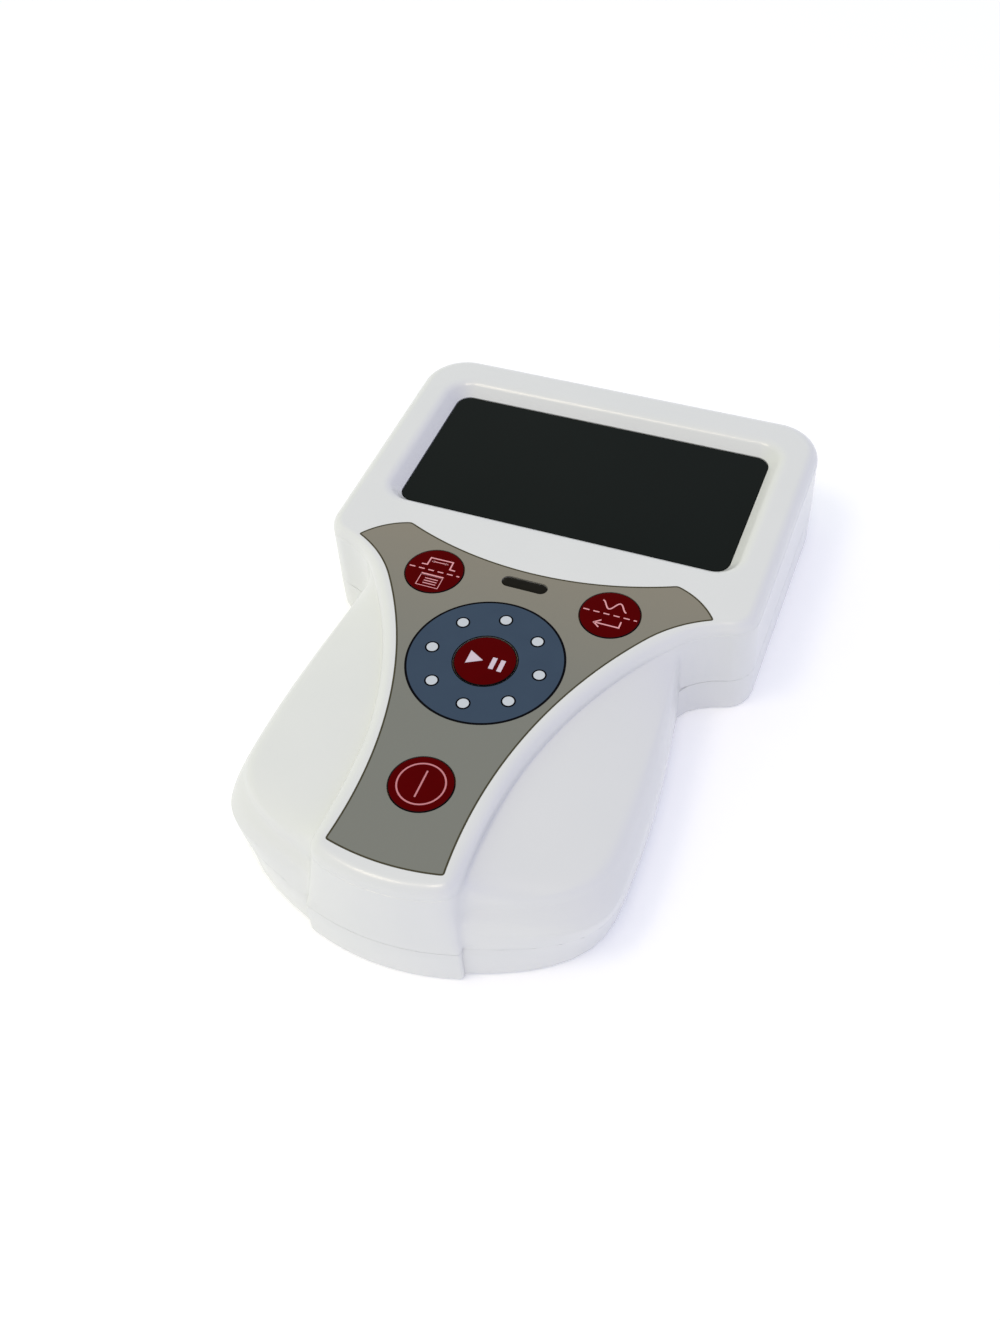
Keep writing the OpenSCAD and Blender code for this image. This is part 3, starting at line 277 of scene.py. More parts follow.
    # Nylon and diffuser mouldings: warm white, waxy.
    NYLON = Finish("natural_nylon", "e6dfc4", "dbd3b6", 2.0, (0.42, 0.52), relief=0.004)
    DIFFUSER = Finish("opal_acrylic", "ecece6", "e2e2dc", 10.0, (0.3, 0.4))
    # Display glass behind the window: dark, very smooth.
    GLASS = Finish("display_glass", "2b332e", "333c37", 20.0, (0.05, 0.08), ior=1.52)
    # Soft silicone insulation on the battery leads: an even, dull red.
    SILICONE = Finish("silicone_insulation", "a3211c", "8e1a16", 1.0, (0.5, 0.6), relief=0.004)


# Surfaces


def arc(centre: Sequence[float], radius: float, start: float, end: float, count: int) -> np.ndarray:
    """Points on a circle's arc, from one angle to another.

    Args:
        centre: the circle's centre in plan.
        radius: its radius.
        start: first angle in degrees.
        end: last angle in degrees.
        count: number of points, both ends included.

    Returns:
        Array of count plan points.
    """
    turn = np.radians(np.linspace(start, end, count))
    return np.stack([centre[0] + radius * np.cos(turn), centre[1] + radius * np.sin(turn)], axis=1)


def circle(centre: Sequence[float], radius: float, steps: int) -> np.ndarray:
    """Closed anticlockwise outline of a circle, in even steps."""
    return arc(centre, radius, 0, 360, steps + 1)[:-1]


def rounded_rectangle(width: float, length: float, radius: float, steps: int = 10) -> np.ndarray:
    """Closed outline of a rectangle with round corners, anticlockwise: four quarter circles joined by straights.

    Args:
        width: size along X.
        length: size along Y.
        radius: corner radius.
        steps: points on each corner.

    Returns:
        Array of plan points about the rectangle's centre.
    """
    x, y = width / 2 - radius, length / 2 - radius
    corners = [(x, y, 0), (-x, y, 90), (-x, -y, 180), (x, -y, 270)]
    return np.concatenate([arc((cx, cy), radius, a, a + 90, steps) for cx, cy, a in corners])


def stadium(length: float, width: float, steps: int = 16) -> np.ndarray:
    """Closed outline of a slot, anticlockwise: two half circles joined by straights.

    Args:
        length: overall length along X.
        width: width along Y.
        steps: points on each end.

    Returns:
        Array of plan points about the slot's centre.
    """
    half = (length - width) / 2
    return np.concatenate([arc((half, 0), width / 2, -90, 90, steps), arc((-half, 0), width / 2, 90, 270, steps)])


def at_height(outline: np.ndarray, z: float | np.ndarray) -> np.ndarray:
    """Plan points raised to height z, one for all or one for each."""
    return np.column_stack([outline, np.broadcast_to(z, len(outline))])


def strip_faces(rows: int, columns: int, closed: bool = True) -> np.ndarray:
    """Quads between stacked rings that run anticlockwise, each ring further up or further in than the last.

    Args:
        rows: number of rings.
        columns: points on each ring.
        closed: whether each ring's last point joins its first.

    Returns:
        Array of quads that face out of a stack of rising rings, and up on a set of narrowing ones.
    """
    row, column = np.meshgrid(np.arange(rows - 1), np.arange(columns if closed else columns - 1), indexing="ij")
    here = row * columns + column
    along = row * columns + (column + 1) % columns
    return np.stack([here, along, along + columns, here + columns], axis=-1).reshape(-1, 4)


def fill(outlines: Sequence[np.ndarray], z: float, up: bool = True) -> Patch:
    """Flat face inside the first outline and outside the rest.

    Args:
        outlines: the outer plan outline, then those of the holes.
        z: height of the face.
        up: whether the face looks up.

    Returns:
        Points and triangles.
    """
    points = at_height(np.concatenate(outlines), z)
    tris = np.array(tessellate_polygon([[Vector((p[0], p[1], 0)) for p in outline] for outline in outlines]))
    a, b, c = (points[tris[:, k], :2] for k in range(3))
    turn = (b[:, 0] - a[:, 0]) * (c[:, 1] - a[:, 1]) - (b[:, 1] - a[:, 1]) * (c[:, 0] - a[:, 0])
    flip = (turn > 0) != up
    tris[flip] = tris[flip][:, ::-1]
    return points, tris[np.abs(turn) > SLIVER]


def stroke(path: np.ndarray, width: float, closed: bool = False) -> Patch:
    """Flat line of even width along a path, mitred at its corners.

    Args:
        path: plan points along the middle of the line.
        width: the line's width.
        closed: whether the last point joins the first.

    Returns:
        Plan points, left and right of each path point in turn, and quads that look up.
    """
    before = np.roll(path, 1, axis=0) if closed else np.concatenate([2 * path[:1] - path[1:2], path[:-1]])
    after = np.roll(path, -1, axis=0) if closed else np.concatenate([path[1:], 2 * path[-1:] - path[-2:-1]])
    into = (path - before) / np.linalg.norm(path - before, axis=1, keepdims=True)
    out = (after - path) / np.linalg.norm(after - path, axis=1, keepdims=True)
    mean = into + out
    mean /= np.linalg.norm(mean, axis=1, keepdims=True)
    reach = width / 2 / np.maximum(MITRE_LIMIT, np.sum(mean * into, axis=1, keepdims=True))
    side = np.stack([-mean[:, 1], mean[:, 0]], axis=1) * reach
    points = np.stack([path + side, path - side], axis=1).reshape(-1, 2)
    count = len(path) if closed else len(path) - 1
    here = 2 * np.arange(count)
    ahead = (here + 2) % (2 * len(path))
    return points, np.stack([here + 1, ahead + 1, ahead, here], axis=1)


def bend(start: np.ndarray, corner: np.ndarray, end: np.ndarray, count: int) -> np.ndarray:
    """Quadratic curve that leaves its start and reaches its end in line with a corner.

    Args:
        start: first point.
        corner: the point that both ends aim at.
        end: last point.
        count: number of points, both ends included.

    Returns:
        Points along the curve.
    """
    t = np.linspace(0, 1, count)[:, None]
    return (1 - t) ** 2 * start + 2 * t * (1 - t) * corner + t**2 * end


def grown(outline: np.ndarray, distance: float) -> np.ndarray:
    """Closed anticlockwise outline moved out along its normals, which lie across the line between its neighbours.

    Args:
        outline: plan points, not repeated at the end.
        distance: how far it moves, or in if negative.

    Returns:
        As many plan points.
    """
    along = np.roll(outline, -1, axis=0) - np.roll(outline, 1, axis=0)
    along /= np.linalg.norm(along, axis=1, keepdims=True)
    return outline + distance * np.stack([along[:, 1], -along[:, 0]], axis=1)


def smoothed(outline: np.ndarray, count: int, spread: int) -> np.ndarray:
    """Closed outline resampled to even steps with its corners slightly rounded by a running mean.

    Args:
        outline: plan points, not repeated at the end.
        count: points wanted.
        spread: points on each side that the mean takes in.

    Returns:
        Array of count plan points.
    """
    loop = np.concatenate([outline, outline[:1]])
    run = np.concatenate([[0.0], np.cumsum(np.linalg.norm(np.diff(loop, axis=0), axis=1))])
    want = np.linspace(0.0, run[-1], count, endpoint=False)
    even = np.stack([np.interp(want, run, loop[:, k]) for k in range(2)], axis=1)
    weight = 1.0 - np.abs(np.arange(-spread, spread + 1)) / (spread + 1)
    rolled = np.stack([np.roll(even, -k, axis=0) for k in range(-spread, spread + 1)])
    return np.tensordot(weight / weight.sum(), rolled, axes=1)


class Surface:
    """One piece's skin, gathered patch by patch and welded where patches meet."""

    def __init__(self) -> None:
        """Starts with nothing gathered."""
        self.points: list[np.ndarray] = []
        self.faces: list[list[int]] = []
        self.finish: list[int] = []
        self.count = 0

    def add(self, points: np.ndarray, faces: np.ndarray, finish: int = 0) -> None:
        """Adds a patch.

        Args:
            points: its points in millimetres about the ring's centre.
            faces: triangles or quads by point number.
            finish: which of the piece's finishes it takes.
        """
        self.points.append(points)
        self.faces.extend((faces + self.count).tolist())
        self.finish.extend([finish] * len(faces))
        self.count += len(points)

    def rings(self, rings: Sequence[np.ndarray], finish: int = 0, closed: bool = True) -> None:
        """Adds the skin between stacked anticlockwise rings of equal count."""
        self.add(np.concatenate(rings), strip_faces(len(rings), len(rings[0]), closed), finish)

    def capped(self, rings: Sequence[np.ndarray]) -> None:
        """Adds a solid of stacked level rings: the skin between them, its flat top and its flat underside.

        Args:
            rings: anticlockwise rings of equal count, from the underside to the top.
        """
        self.rings(rings)
        for ring, up in ((rings[-1], True), (rings[0], False)):
            self.add(*fill([ring[:, :2]], ring[0, 2], up))

    def layer(self, points: np.ndarray, faces: np.ndarray, low: float, high: float, finish: int = 0) -> None:
        """Adds a thin closed layer: a flat patch, its underside, and walls on each edge that only one face has.

        Args:
            points: plan points of the patch.
            faces: its triangles or quads, which look up.
            low: height of the underside.
            high: height of the patch.
            finish: which of the piece's finishes it takes.
        """
        count = len(points)
        edges = np.stack([faces, np.roll(faces, -1, axis=1)], axis=-1).reshape(-1, 2)
        rim = edges[~np.isin(edges @ (count, 1), edges @ (1, count))]
        top, bottom = at_height(points, high), at_height(points, low)
        self.add(top, faces, finish)
        self.add(bottom, faces[:, ::-1], finish)
        walls = np.concatenate([rim[:, ::-1], rim + count], axis=1)
        self.add(np.concatenate([top, bottom]), walls, finish)

    def object(self, name: str, finishes: Sequence[Finish], datum_y: float, sharp: float = 38.0) -> bpy.types.Object:
        """Welds the patches and makes the mesh object.

        Args:
            name: the object's name.
            finishes: its finishes, by the numbers that the patches use.
            datum_y: how far the ring's centre lies from the part's origin along Y.
            sharp: edges that turn more than this many degrees stay crisp.

        Returns:
            The object, with its place in its mesh.
        """
        points = np.concatenate(self.points) + (0.0, datum_y, 0.0)
        _, first, weld = np.unique(np.round(points, WELD_DIGITS), axis=0, return_index=True, return_inverse=True)
        weld = weld.ravel().tolist()
        faces = [[weld[i] for i in face] for face in self.faces]
        keep = [len(set(face)) == len(face) for face in faces]
        mesh = bpy.data.meshes.new(name)
        mesh.from_pydata((points[first] * MM).tolist(), [], [f for f, k in zip(faces, keep) if k])
        mesh.polygons.foreach_set("material_index", np.array([f for f, k in zip(self.finish, keep) if k], np.int32))
        mesh.polygons.foreach_set("use_smooth", np.ones(len(mesh.polygons), bool))
        mesh.set_sharp_from_angle(angle=math.radians(sharp))
        for finish in finishes:
            mesh.materials.append(finish.material())
        mesh.update()
        made = bpy.data.objects.new(name, mesh)
        bpy.context.scene.collection.objects.link(made)
        return made


def settle(piece: bpy.types.Object, body: str, slot: str, *nodes: str) -> None:
    """Lets a piece ride its body and stand for its CAD nodes.

    Args:
        piece: the finished object.
        body: the body that it moves with.
        slot: the name of a material slot; not used.
        *nodes: CAD nodes that it replaces.
    """
    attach(piece, body)
    if nodes:
        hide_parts(*nodes)
    log.info("%s: %d faces on %s", piece.name, len(piece.data.polygons), body)


def welded_copy(node: str, name: str, finish: Finish, sharp: float = 32.0) -> bpy.types.Object:
    """A CAD node's own shape with its points merged, so that its curves shade smoothly.

    Args:
        node: the CAD node.
        name: the new object's name.
        finish: its finish.
        sharp: edges that turn more than this many degrees stay crisp.

    Returns:
        The new object.
    """
    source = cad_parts[node].data
    points = np.empty(len(source.vertices) * 3, np.float32)
    source.vertices.foreach_get("co", points)
    points = points.reshape(-1, 3).astype(float)
    source.calc_loop_triangles()
    tris = np.empty(len(source.loop_triangles) * 3, np.int32)
    source.loop_triangles.foreach_get("vertices", tris)
    skin = Surface()
    skin.add(points / MM, tris.reshape(-1, 3))
    made = skin.object(name, [finish], 0.0, sharp)
    weighted = made.modifiers.new("even_shading", "WEIGHTED_NORMAL")
    weighted.keep_sharp = True
    return made


# Housing


@dataclass
class HousingPlan:
    """The housing's plan curves: a head with round corners, a waisted spine and hips beside it.

    Sizes are in millimetres and degrees. A name's ending says what it is: _w a width, _r a radius, _z a height above
    the table, and _reach and _back a distance from the ring's centre. The two sets for softening hold the first point
    and the last, counted from the tail's corner, and the number of rounds.
    """

    head_w: float = 90.0
    head_reach: float = 84.2
    tail_reach: float = 52.8
    tail_lean: float = 2.4
    housing_h: float = 24.0
    parting_z: float = 8.5
    band_z: float = 7.0
    belly_z: float = 12.0
    crease_z: float = 20.6
    draft: float = 1.0
    far_corner_r: float = 10.0
    near_corner_r: float = 6.0
    waist_w: float = 27.2
    waist_back: float = 36.0
    flank_r: float = 84.8
    sweep_r: float = 16.0
    sweep_start: float = 17.0
    neck_step: float = 2.0
    tail_bow_r: float = 46.0
    tail_corner_r: float = 3.4
    tail_foot_r: float = 0.6
    hip_w: float = 74.8
    hip_back: float = 24.0
    hip_side_r: float = 170.0
    hip_reach: float = 50.6
    hip_end_lean: float = 5.1
    hip_end_shares: tuple[float, float, float, float] = (0.0, 0.37, 0.95, 1.1)
    hip_end_gap: float = 0.5
    hip_square: tuple[float, float, float] = (3.4, 4.6, 3.2)
    hip_fade: float = 5.0
    hip_crowding: float = 0.056
    hip_tuck: float = 1.6
    shoulder_z: float = 16.0
    neck_soften: float = 1.5
    corner_soften: tuple[int, int, int] = (-1, 14, 26)
    notch_soften: tuple[int, int, int] = (-6, 3, 5)
    soften_rise: float = 2.0
    socket_z: float = 9.0
    socket_r: float = 2.75
    far_steps: int = 17
    near_steps: int = 15
    sweep_steps: int = 12
    side_steps: int = 84
    tip_steps: int = 9
    bow_steps: int = 9

    def __post_init__(self) -> None:
        """Works out the circles that the spine's wall follows."""
        self.datum_y = (self.tail_reach - self.head_reach) / 2
        self.flank_c = np.array([self.waist_w / 2 + self.flank_r, -self.waist_back])
        lean = math.asin((self.sweep_start + self.waist_back) / self.flank_r)
        self.sweep_c = self.flank_c + (self.flank_r - self.sweep_r) * np.array([-math.cos(lean), math.sin(lean)])
        near_x = self.head_w / 2 - self.near_corner_r
        reach = self.sweep_r + self.near_corner_r
        self.near_c = np.array([near_x, self.sweep_c[1] + math.sqrt(reach**2 - (near_x - self.sweep_c[0]) ** 2)])
        self.near_a = math.degrees(math.atan2(*(self.sweep_c - self.near_c)[::-1]))
        self.neck_y = self.sweep_start + self.neck_step
        self.hip_span = (self.hip_w - self.waist_w) / 2

    def rise(self, z: float, top: float) -> float:
        """How far z has come from the band above the parting line to the given top, from 0 to 1."""
        return min(1.0, max(0.0, (z - self.band_z) / (top - self.band_z)))

    def drafted(self, z: float) -> float:
        """How far the moulding draft has drawn the walls in at height z."""
        return math.tan(math.radians(self.draft)) * max(0.0, z - self.band_z)

    def corner_r(self, z: float) -> float:
        """Radius of the tail's corners at height z."""
        return self.tail_foot_r + (self.tail_corner_r - self.tail_foot_r) * self.rise(z, self.crease_z)

    def tuck(self, z: float) -> float:
        """Share of a hip's width that is left at height z, below its widest line."""
        return 1 - self.hip_tuck / self.hip_span * max(0.0, 1 - z / self.belly_z) ** 2

    def hip_end(self, z: float) -> float:
        """Where a hip's end wall stands at height z: it leans in, most of all over the shoulder."""
        heights = (self.band_z, self.belly_z, self.shoulder_z, self.crease_z)
        return -self.hip_reach + self.hip_end_lean * float(np.interp(z, heights, self.hip_end_shares))

    def spine_x(self, y: np.ndarray) -> np.ndarray:
        """Half width of the raised spine: a hollow flank circle, then the tighter sweep into the head.

        Args:
            y: places along the length.

        Returns:
            The half width at each place.
        """
        flank_y = np.minimum(self.flank_r, np.abs(y - self.flank_c[1]))
        flank = self.flank_c[0] - np.sqrt(self.flank_r**2 - flank_y**2)
        sweep_y = np.minimum(self.sweep_r, np.abs(y - self.sweep_c[1]))
        sweep = self.sweep_c[0] - np.sqrt(self.sweep_r**2 - sweep_y**2)
        return np.where(y < self.sweep_start, flank, sweep)

    def hip_bulge(self, y: np.ndarray, z: float, end: float) -> np.ndarray:
        """What a hip adds to the spine's half width.

        The hip's side is a shallow parabola ahead of its widest point and a squared-off curve behind it. The sum is
        softened where it leaves the spine.

        Args:
            y: places along the length.
            z: height.
            end: where the hip ends, towards the tail.

        Returns:
            The added half width at each place.
        """
        start = float(self.spine_x(np.array([end]))[0])
        share = np.clip((-self.hip_back - y) / (-self.hip_back - end), 0, 1)
        square = float(np.interp(z, (self.band_z, self.belly_z, self.shoulder_z), self.hip_square))
        behind = start + (self.hip_w / 2 - start) * (1 - share**square)
        ahead = self.hip_w / 2 - (y + self.hip_back) ** 2 / (2 * self.hip_side_r)
        gain = np.where(y > -self.hip_back, ahead, behind) - self.spine_x(y)
        ends = np.clip((self.neck_y - y) / self.hip_fade, 0, 1) * np.clip((y - end) / self.hip_fade, 0, 1)
        return np.maximum(0, (gain + np.sqrt(gain**2 + self.neck_soften**2 * ends)) / 2)

    def half(self, z: float, share: float, corner: float) -> np.ndarray:
        """Half of the plan from the far corner round to the middle of the tail.

        The head's corners, the sweep, the flank and the tail's bow are circles, and the tail's corner is the circle
        that touches both flank and bow. The hip is added to the flank, with points crowded by a sine at its ends.

        Args:
            z: height.
            share: how much of the hip's width is there.
            corner: radius of the tail's corner.

        Returns:
            Plan points on the right-hand side.
        """
        far_c = (self.head_w / 2 - self.far_corner_r, self.head_reach - self.far_corner_r)
        far = arc(far_c, self.far_corner_r, 90, 0, self.far_steps)
        near = arc(self.near_c, self.near_corner_r, 0, self.near_a, self.near_steps)
        neck_a = 180 - math.degrees(math.asin((self.neck_y - self.sweep_c[1]) / self.sweep_r))
        sweep = arc(self.sweep_c, self.sweep_r, self.near_a + 180, neck_a, self.sweep_steps)[1:]
        tail = -self.tail_reach + self.tail_lean * self.rise(z, self.housing_h)
        bow_c = np.array([0.0, tail + self.tail_bow_r])
        gap = self.flank_c - bow_c
        reach = float(np.hypot(*gap))
        inner = self.tail_bow_r - corner
        along = (inner**2 - (self.flank_r + corner) ** 2 + reach**2) / (2 * reach)
        across = math.sqrt(inner**2 - along**2)
        unit = gap / reach
        tip_c = bow_c + along * unit + across * np.array([unit[1], -unit[0]])
        tip_a = math.degrees(math.atan2(tip_c[1] - bow_c[1], tip_c[0]))
        flank_a = math.degrees(math.atan2(self.flank_c[1] - tip_c[1], self.flank_c[0] - tip_c[0]))
        tip = arc(tip_c, corner, flank_a, tip_a, self.tip_steps)
        end = max(self.hip_end(z), tip[0, 1] + self.hip_end_gap)
        u = np.linspace(0, 1, self.side_steps + 1)[1:]
        y = self.neck_y + (end - self.neck_y) * (u - self.hip_crowding * np.sin(2 * np.pi * u))
        side = np.stack([self.spine_x(y) + share * self.hip_bulge(y, z, end), y], axis=1)
        mid_y = np.array([(end + tip[0, 1]) / 2])
        middle = np.stack([self.spine_x(mid_y), mid_y], axis=1)
        turn = np.radians(tip_a - (90 + tip_a) * np.arange(1, self.bow_steps + 1) / (self.bow_steps + 0.5))
        bow = bow_c + self.tail_bow_r * np.stack([np.cos(turn), np.sin(turn)], axis=1)
        return self.softened(np.concatenate([far, near, sweep, side, middle, tip, bow]), -len(tip) - len(bow), z)

    def softened(self, line: np.ndarray, notch: int, z: float) -> np.ndarray:
        """Rounds the tail's corner and, less, the notch beside it: each point moves towards its neighbours' middle.

        Args:
            line: plan points.
            notch: index of the first point of the tail's corner.
            z: height; both are crisp at the parting line and soft a little above it.

        Returns:
            As many plan points.
        """
        amount = min(1.0, max(0.0, (z - self.parting_z) / self.soften_rise))
        soft = line.copy()
        for first, last, rounds in (self.corner_soften, self.notch_soften):
            near = np.arange(len(line) + notch + first, len(line) + notch + last)
            for _ in range(rounds):
                soft[near] += 0.5 * ((soft[near - 1] + soft[near + 1]) / 2 - soft[near])
        return line + amount * (soft - line)

    def gate(self, level: float) -> float:
        """Half width of the socket's hole in the far wall at a level, and 0 above it."""
        return math.sqrt(max(0.0, self.socket_r**2 - (level - self.socket_z) ** 2))

    def ring(self, z: float, share: float, corner: float, inset: float | np.ndarray,
             level: float | np.ndarray) -> np.ndarray:
        """Whole plan outline, drawn in along its normals and set at a level, open at the socket's hole.

        Args:
            z: height whose plan is taken.
            share: how much of the hip's width is there.
            corner: radius of the tail's corner.
            inset: distance drawn in, one for all points or one for each on half of the plan.
            level: height at which the ring lies, likewise.

        Returns:
            Points anticlockwise from one side of the hole to the other; they meet at levels above it.
        """
        half = self.half(z, share, corner)
        mirror = np.array([-1.0, 1.0])
        chain = np.concatenate([half[:1] * mirror, half, half[-1:] * mirror])
        step = np.diff(chain, axis=0)
        step /= np.linalg.norm(step, axis=1, keepdims=True)
        along = step[:-1] + step[1:]
        along /= np.linalg.norm(along, axis=1, keepdims=True)
        half = half + np.reshape(inset, (-1, 1)) * np.stack([along[:, 1], -along[:, 0]], axis=1)
        level = np.broadcast_to(level, len(half))
        half = np.concatenate([[(self.gate(level[0]), half[0, 1])], half])
        level = np.concatenate([level[:1], level])
        return at_height(np.concatenate([half, half[::-1] * mirror])[::-1], np.concatenate([level[::-1], level]))


@dataclass
class Display:
    """The sunk window: its sizes, the bezel that slopes down to it and the dark pane."""

    plan: HousingPlan
    window_w: float = 70.7
    window_l: float = 35.4
    window_y: float = 55.8
    window_r: float = 3.0
    window_t: float = 1.2
    bezel_depth: float = 2.6
    bezel_run: float = 2.5
    edge_r: float = 2.8
    edge_steps: int = 7
    deck_margin: float = 0.25
    fit_gap: float = 0.1
    pocket_edge: float = 0.05
    pocket_lip: float = 0.1
    pocket_z: float = 19.9
    bevel: float = 0.2
    face_margin: float = 0.3

    def outline(self, grow: float) -> np.ndarray:
        """The window's outline, grown on all sides."""
        shape = rounded_rectangle(self.window_w + 2 * grow, self.window_l + 2 * grow, self.window_r + grow)
        return shape + (0.0, self.window_y)

    def bezel(self) -> list[np.ndarray]:
        """The slope round the window: an arc from the deck, a straight run down and the pane's upright pocket.

        Returns:
            Rings from the deck down to the pocket's floor.
        """
        top = self.plan.housing_h
        low = top - self.bezel_depth
        slope = math.atan2(self.bezel_depth, self.bezel_run)
        reach = self.edge_r * math.tan(slope / 2)
        start = self.bezel_run + self.fit_gap + reach
        turn = np.linspace(0, slope, self.edge_steps)
        rows = [(start + self.deck_margin, top)]
        rows += [(start - self.edge_r * math.sin(a), top - self.edge_r * (1 - math.cos(a))) for a in turn]
        rows.append((self.fit_gap + self.pocket_edge, low + self.pocket_edge))
        rows += [(self.fit_gap, z) for z in (low, low - self.pocket_lip, self.pocket_z)]
        return [at_height(self.outline(grow), z) for grow, z in rows]

    def build(self) -> None:
        """Makes the pane, a slab with a fine bevel round its face."""
        top = self.plan.housing_h - self.bezel_depth
        rows = [(0.0, top - self.window_t), (0.0, top - self.bevel), (-self.bevel, top),
                (-self.bevel - self.face_margin, top)]
        skin = Surface()
        skin.capped([at_height(self.outline(grow), z) for grow, z in rows])
        settle(skin.object("display_pane", [Finishes.WINDOW], self.plan.datum_y), HOUSING, "window_dark",
               "display_window")


@dataclass
class Keypad:
    """The printed film in the spine: its outline, its inks, the keys set in it and the status lens.

    lens_crown pairs each inset with a drop and rim_round its inset with a rise. edge_line holds the insets of the two
    sides of the line round the film.
    """

    plan: HousingPlan
    overlay_margin: float = 3.2
    overlay_back: float = 46.3
    foot_rise: float = 1.2
    flare_r: float = 26.0
    flare_start: float = 14.5
    tip_x: float = 36.9
    corner_x: float = 28.0
    overlay_ahead: float = 23.9
    top_r: float = 71.0
    tip_end_r: float = 16.0
    overlay_t: float = 0.3
    recess_z: float = 22.6
    key_r: float = 5.85
    key_gap: float = 0.15
    key_crown: float = 0.1
    key_edge: float = 0.6
    key_hub: float = 1.0
    status_l: float = 9.2
    status_w: float = 2.6
    status_y: float = 20.5
    status_gap: float = 0.1
    lens_foot_z: float = 15.4
    lens_sink: float = 0.05
    lens_crown: tuple[tuple[float, float], ...] = ((0.0, 0.3), (0.12, 0.08), (0.4, 0.0), (0.7, 0.0))
    ring_r: float = 15.0
    ring_line: float = 0.44
    hub_gap: float = 0.02
    hub_line: float = 0.25
    rim_line: float = 0.14
    rim_drop: float = 0.03
    rim_round: tuple[float, float] = (0.06, 0.05)
    edge_line: tuple[float, float] = (0.03, 0.3)
    dot_orbit: float = 10.66
    dot_r: float = 1.06
    dot_line: float = 0.32
    dots: int = 8
    ink: float = 0.02
    outline_points: int = 900
    outline_spread: int = 2
    foot_steps: int = 14
    side_steps: int = 60
    flare_steps: int = 20
    end_steps: int = 12
    crest_steps: int = 30
    key_steps: int = 96
    ring_steps: int = 128
    dot_steps: int = 48
    places: dict[str, tuple[float, float]] = field(default_factory=lambda: {
        "menu_key": (-18.1, 18.3), "enter_key": (18.1, 18.3), "start_pause_key": (0.0, 0.0),
        "power_key": (0.0, -29.5)})

    def outline(self) -> np.ndarray:
        """The film's outline, anticlockwise.

        The foot is a bowed edge, the flanks follow the spine, the tips flare out on a tighter circle, their ends are
        round and the top edge is hollow.

        Returns:
            Even steps along the closed outline.
        """
        flank_c = self.plan.flank_c
        flank = self.plan.flank_r + self.overlay_margin
        bow_c = np.array([0.0, self.plan.tail_bow_r - self.overlay_back])
        foot_y = -self.overlay_back + self.foot_rise
        foot_x = flank_c[0] - math.sqrt(flank**2 - (foot_y - flank_c[1]) ** 2)
        foot_a = math.degrees(math.atan2(foot_y - bow_c[1], foot_x))
        bow = arc(bow_c, math.hypot(foot_x, foot_y - bow_c[1]), -90, foot_a, self.foot_steps)
        y = np.linspace(foot_y, self.flare_start, self.side_steps)[1:]
        side = np.stack([flank_c[0] - np.sqrt(flank**2 - (y - flank_c[1]) ** 2), y], axis=1)
        flare_a = math.degrees(math.asin((self.flare_start - flank_c[1]) / flank))
        lean = math.radians(flare_a)
        flare_c = flank_c + (flank - self.flare_r) * np.array([-math.cos(lean), math.sin(lean)])
        tip_a = 180 - math.degrees(math.acos((flare_c[0] - self.tip_x) / self.flare_r))
        flare = arc(flare_c, self.flare_r, 180 - flare_a, tip_a, self.flare_steps)[1:]
        tip = flare[-1]
        top_c = np.array([0.0, self.overlay_ahead + self.top_r])
        corner = np.array([self.corner_x, top_c[1] - math.sqrt(self.top_r**2 - self.corner_x**2)])
        chord = corner - tip
        half = float(np.hypot(*chord)) / 2
        away = np.array([chord[1], -chord[0]]) / (2 * half)
        end_c = (corner + tip) / 2 - away * math.sqrt(self.tip_end_r**2 - half**2)
        angles = [math.degrees(math.atan2(p[1] - end_c[1], p[0] - end_c[0])) for p in (tip, corner)]
        end = arc(end_c, self.tip_end_r, angles[0], angles[1], self.end_steps)[1:]
        top_a = math.degrees(math.atan2(corner[1] - top_c[1], corner[0]))
        crest = arc(top_c, float(np.hypot(*(corner - top_c))), top_a, -90, self.crest_steps)[1:]
        right = np.concatenate([bow, side, flare, end, crest])
        left = right[1:-1][::-1] * (-1.0, 1.0)
        return smoothed(np.concatenate([right, left]), self.outline_points, self.outline_spread)

    def status_outline(self, grow: float) -> np.ndarray:
        """The status slot's outline, grown on all sides."""
        return stadium(self.status_l + 2 * grow, self.status_w + 2 * grow) + (0.0, self.status_y)

    def build(self) -> None:
        """Makes the film, its inks, the keys and the lens."""
        self.film()
        self.inks()
        self.lens()
        for name, place in self.places.items():
            self.key(name, place)

    def film(self) -> None:
        """Makes the film: a thin sheet with holes for the keys and the lens."""
        top = self.plan.housing_h
        outer = self.outline()
        holes = [circle(place, self.key_r + self.key_gap, self.key_steps) for place in self.places.values()]
        holes.append(self.status_outline(self.status_gap))
        skin = Surface()
        skin.add(*fill([outer, *holes], top))
        skin.add(*fill([outer, *holes], top - self.overlay_t, up=False))
        skin.rings([at_height(outer, top - self.overlay_t), at_height(outer, top)])
        for hole in holes:
            skin.rings([at_height(hole, top), at_height(hole, top - self.overlay_t)])
        settle(skin.object("keypad_film", [Finishes.OVERLAY], self.plan.datum_y), HOUSING, "overlay_taupe",
               "keypad_overlay")

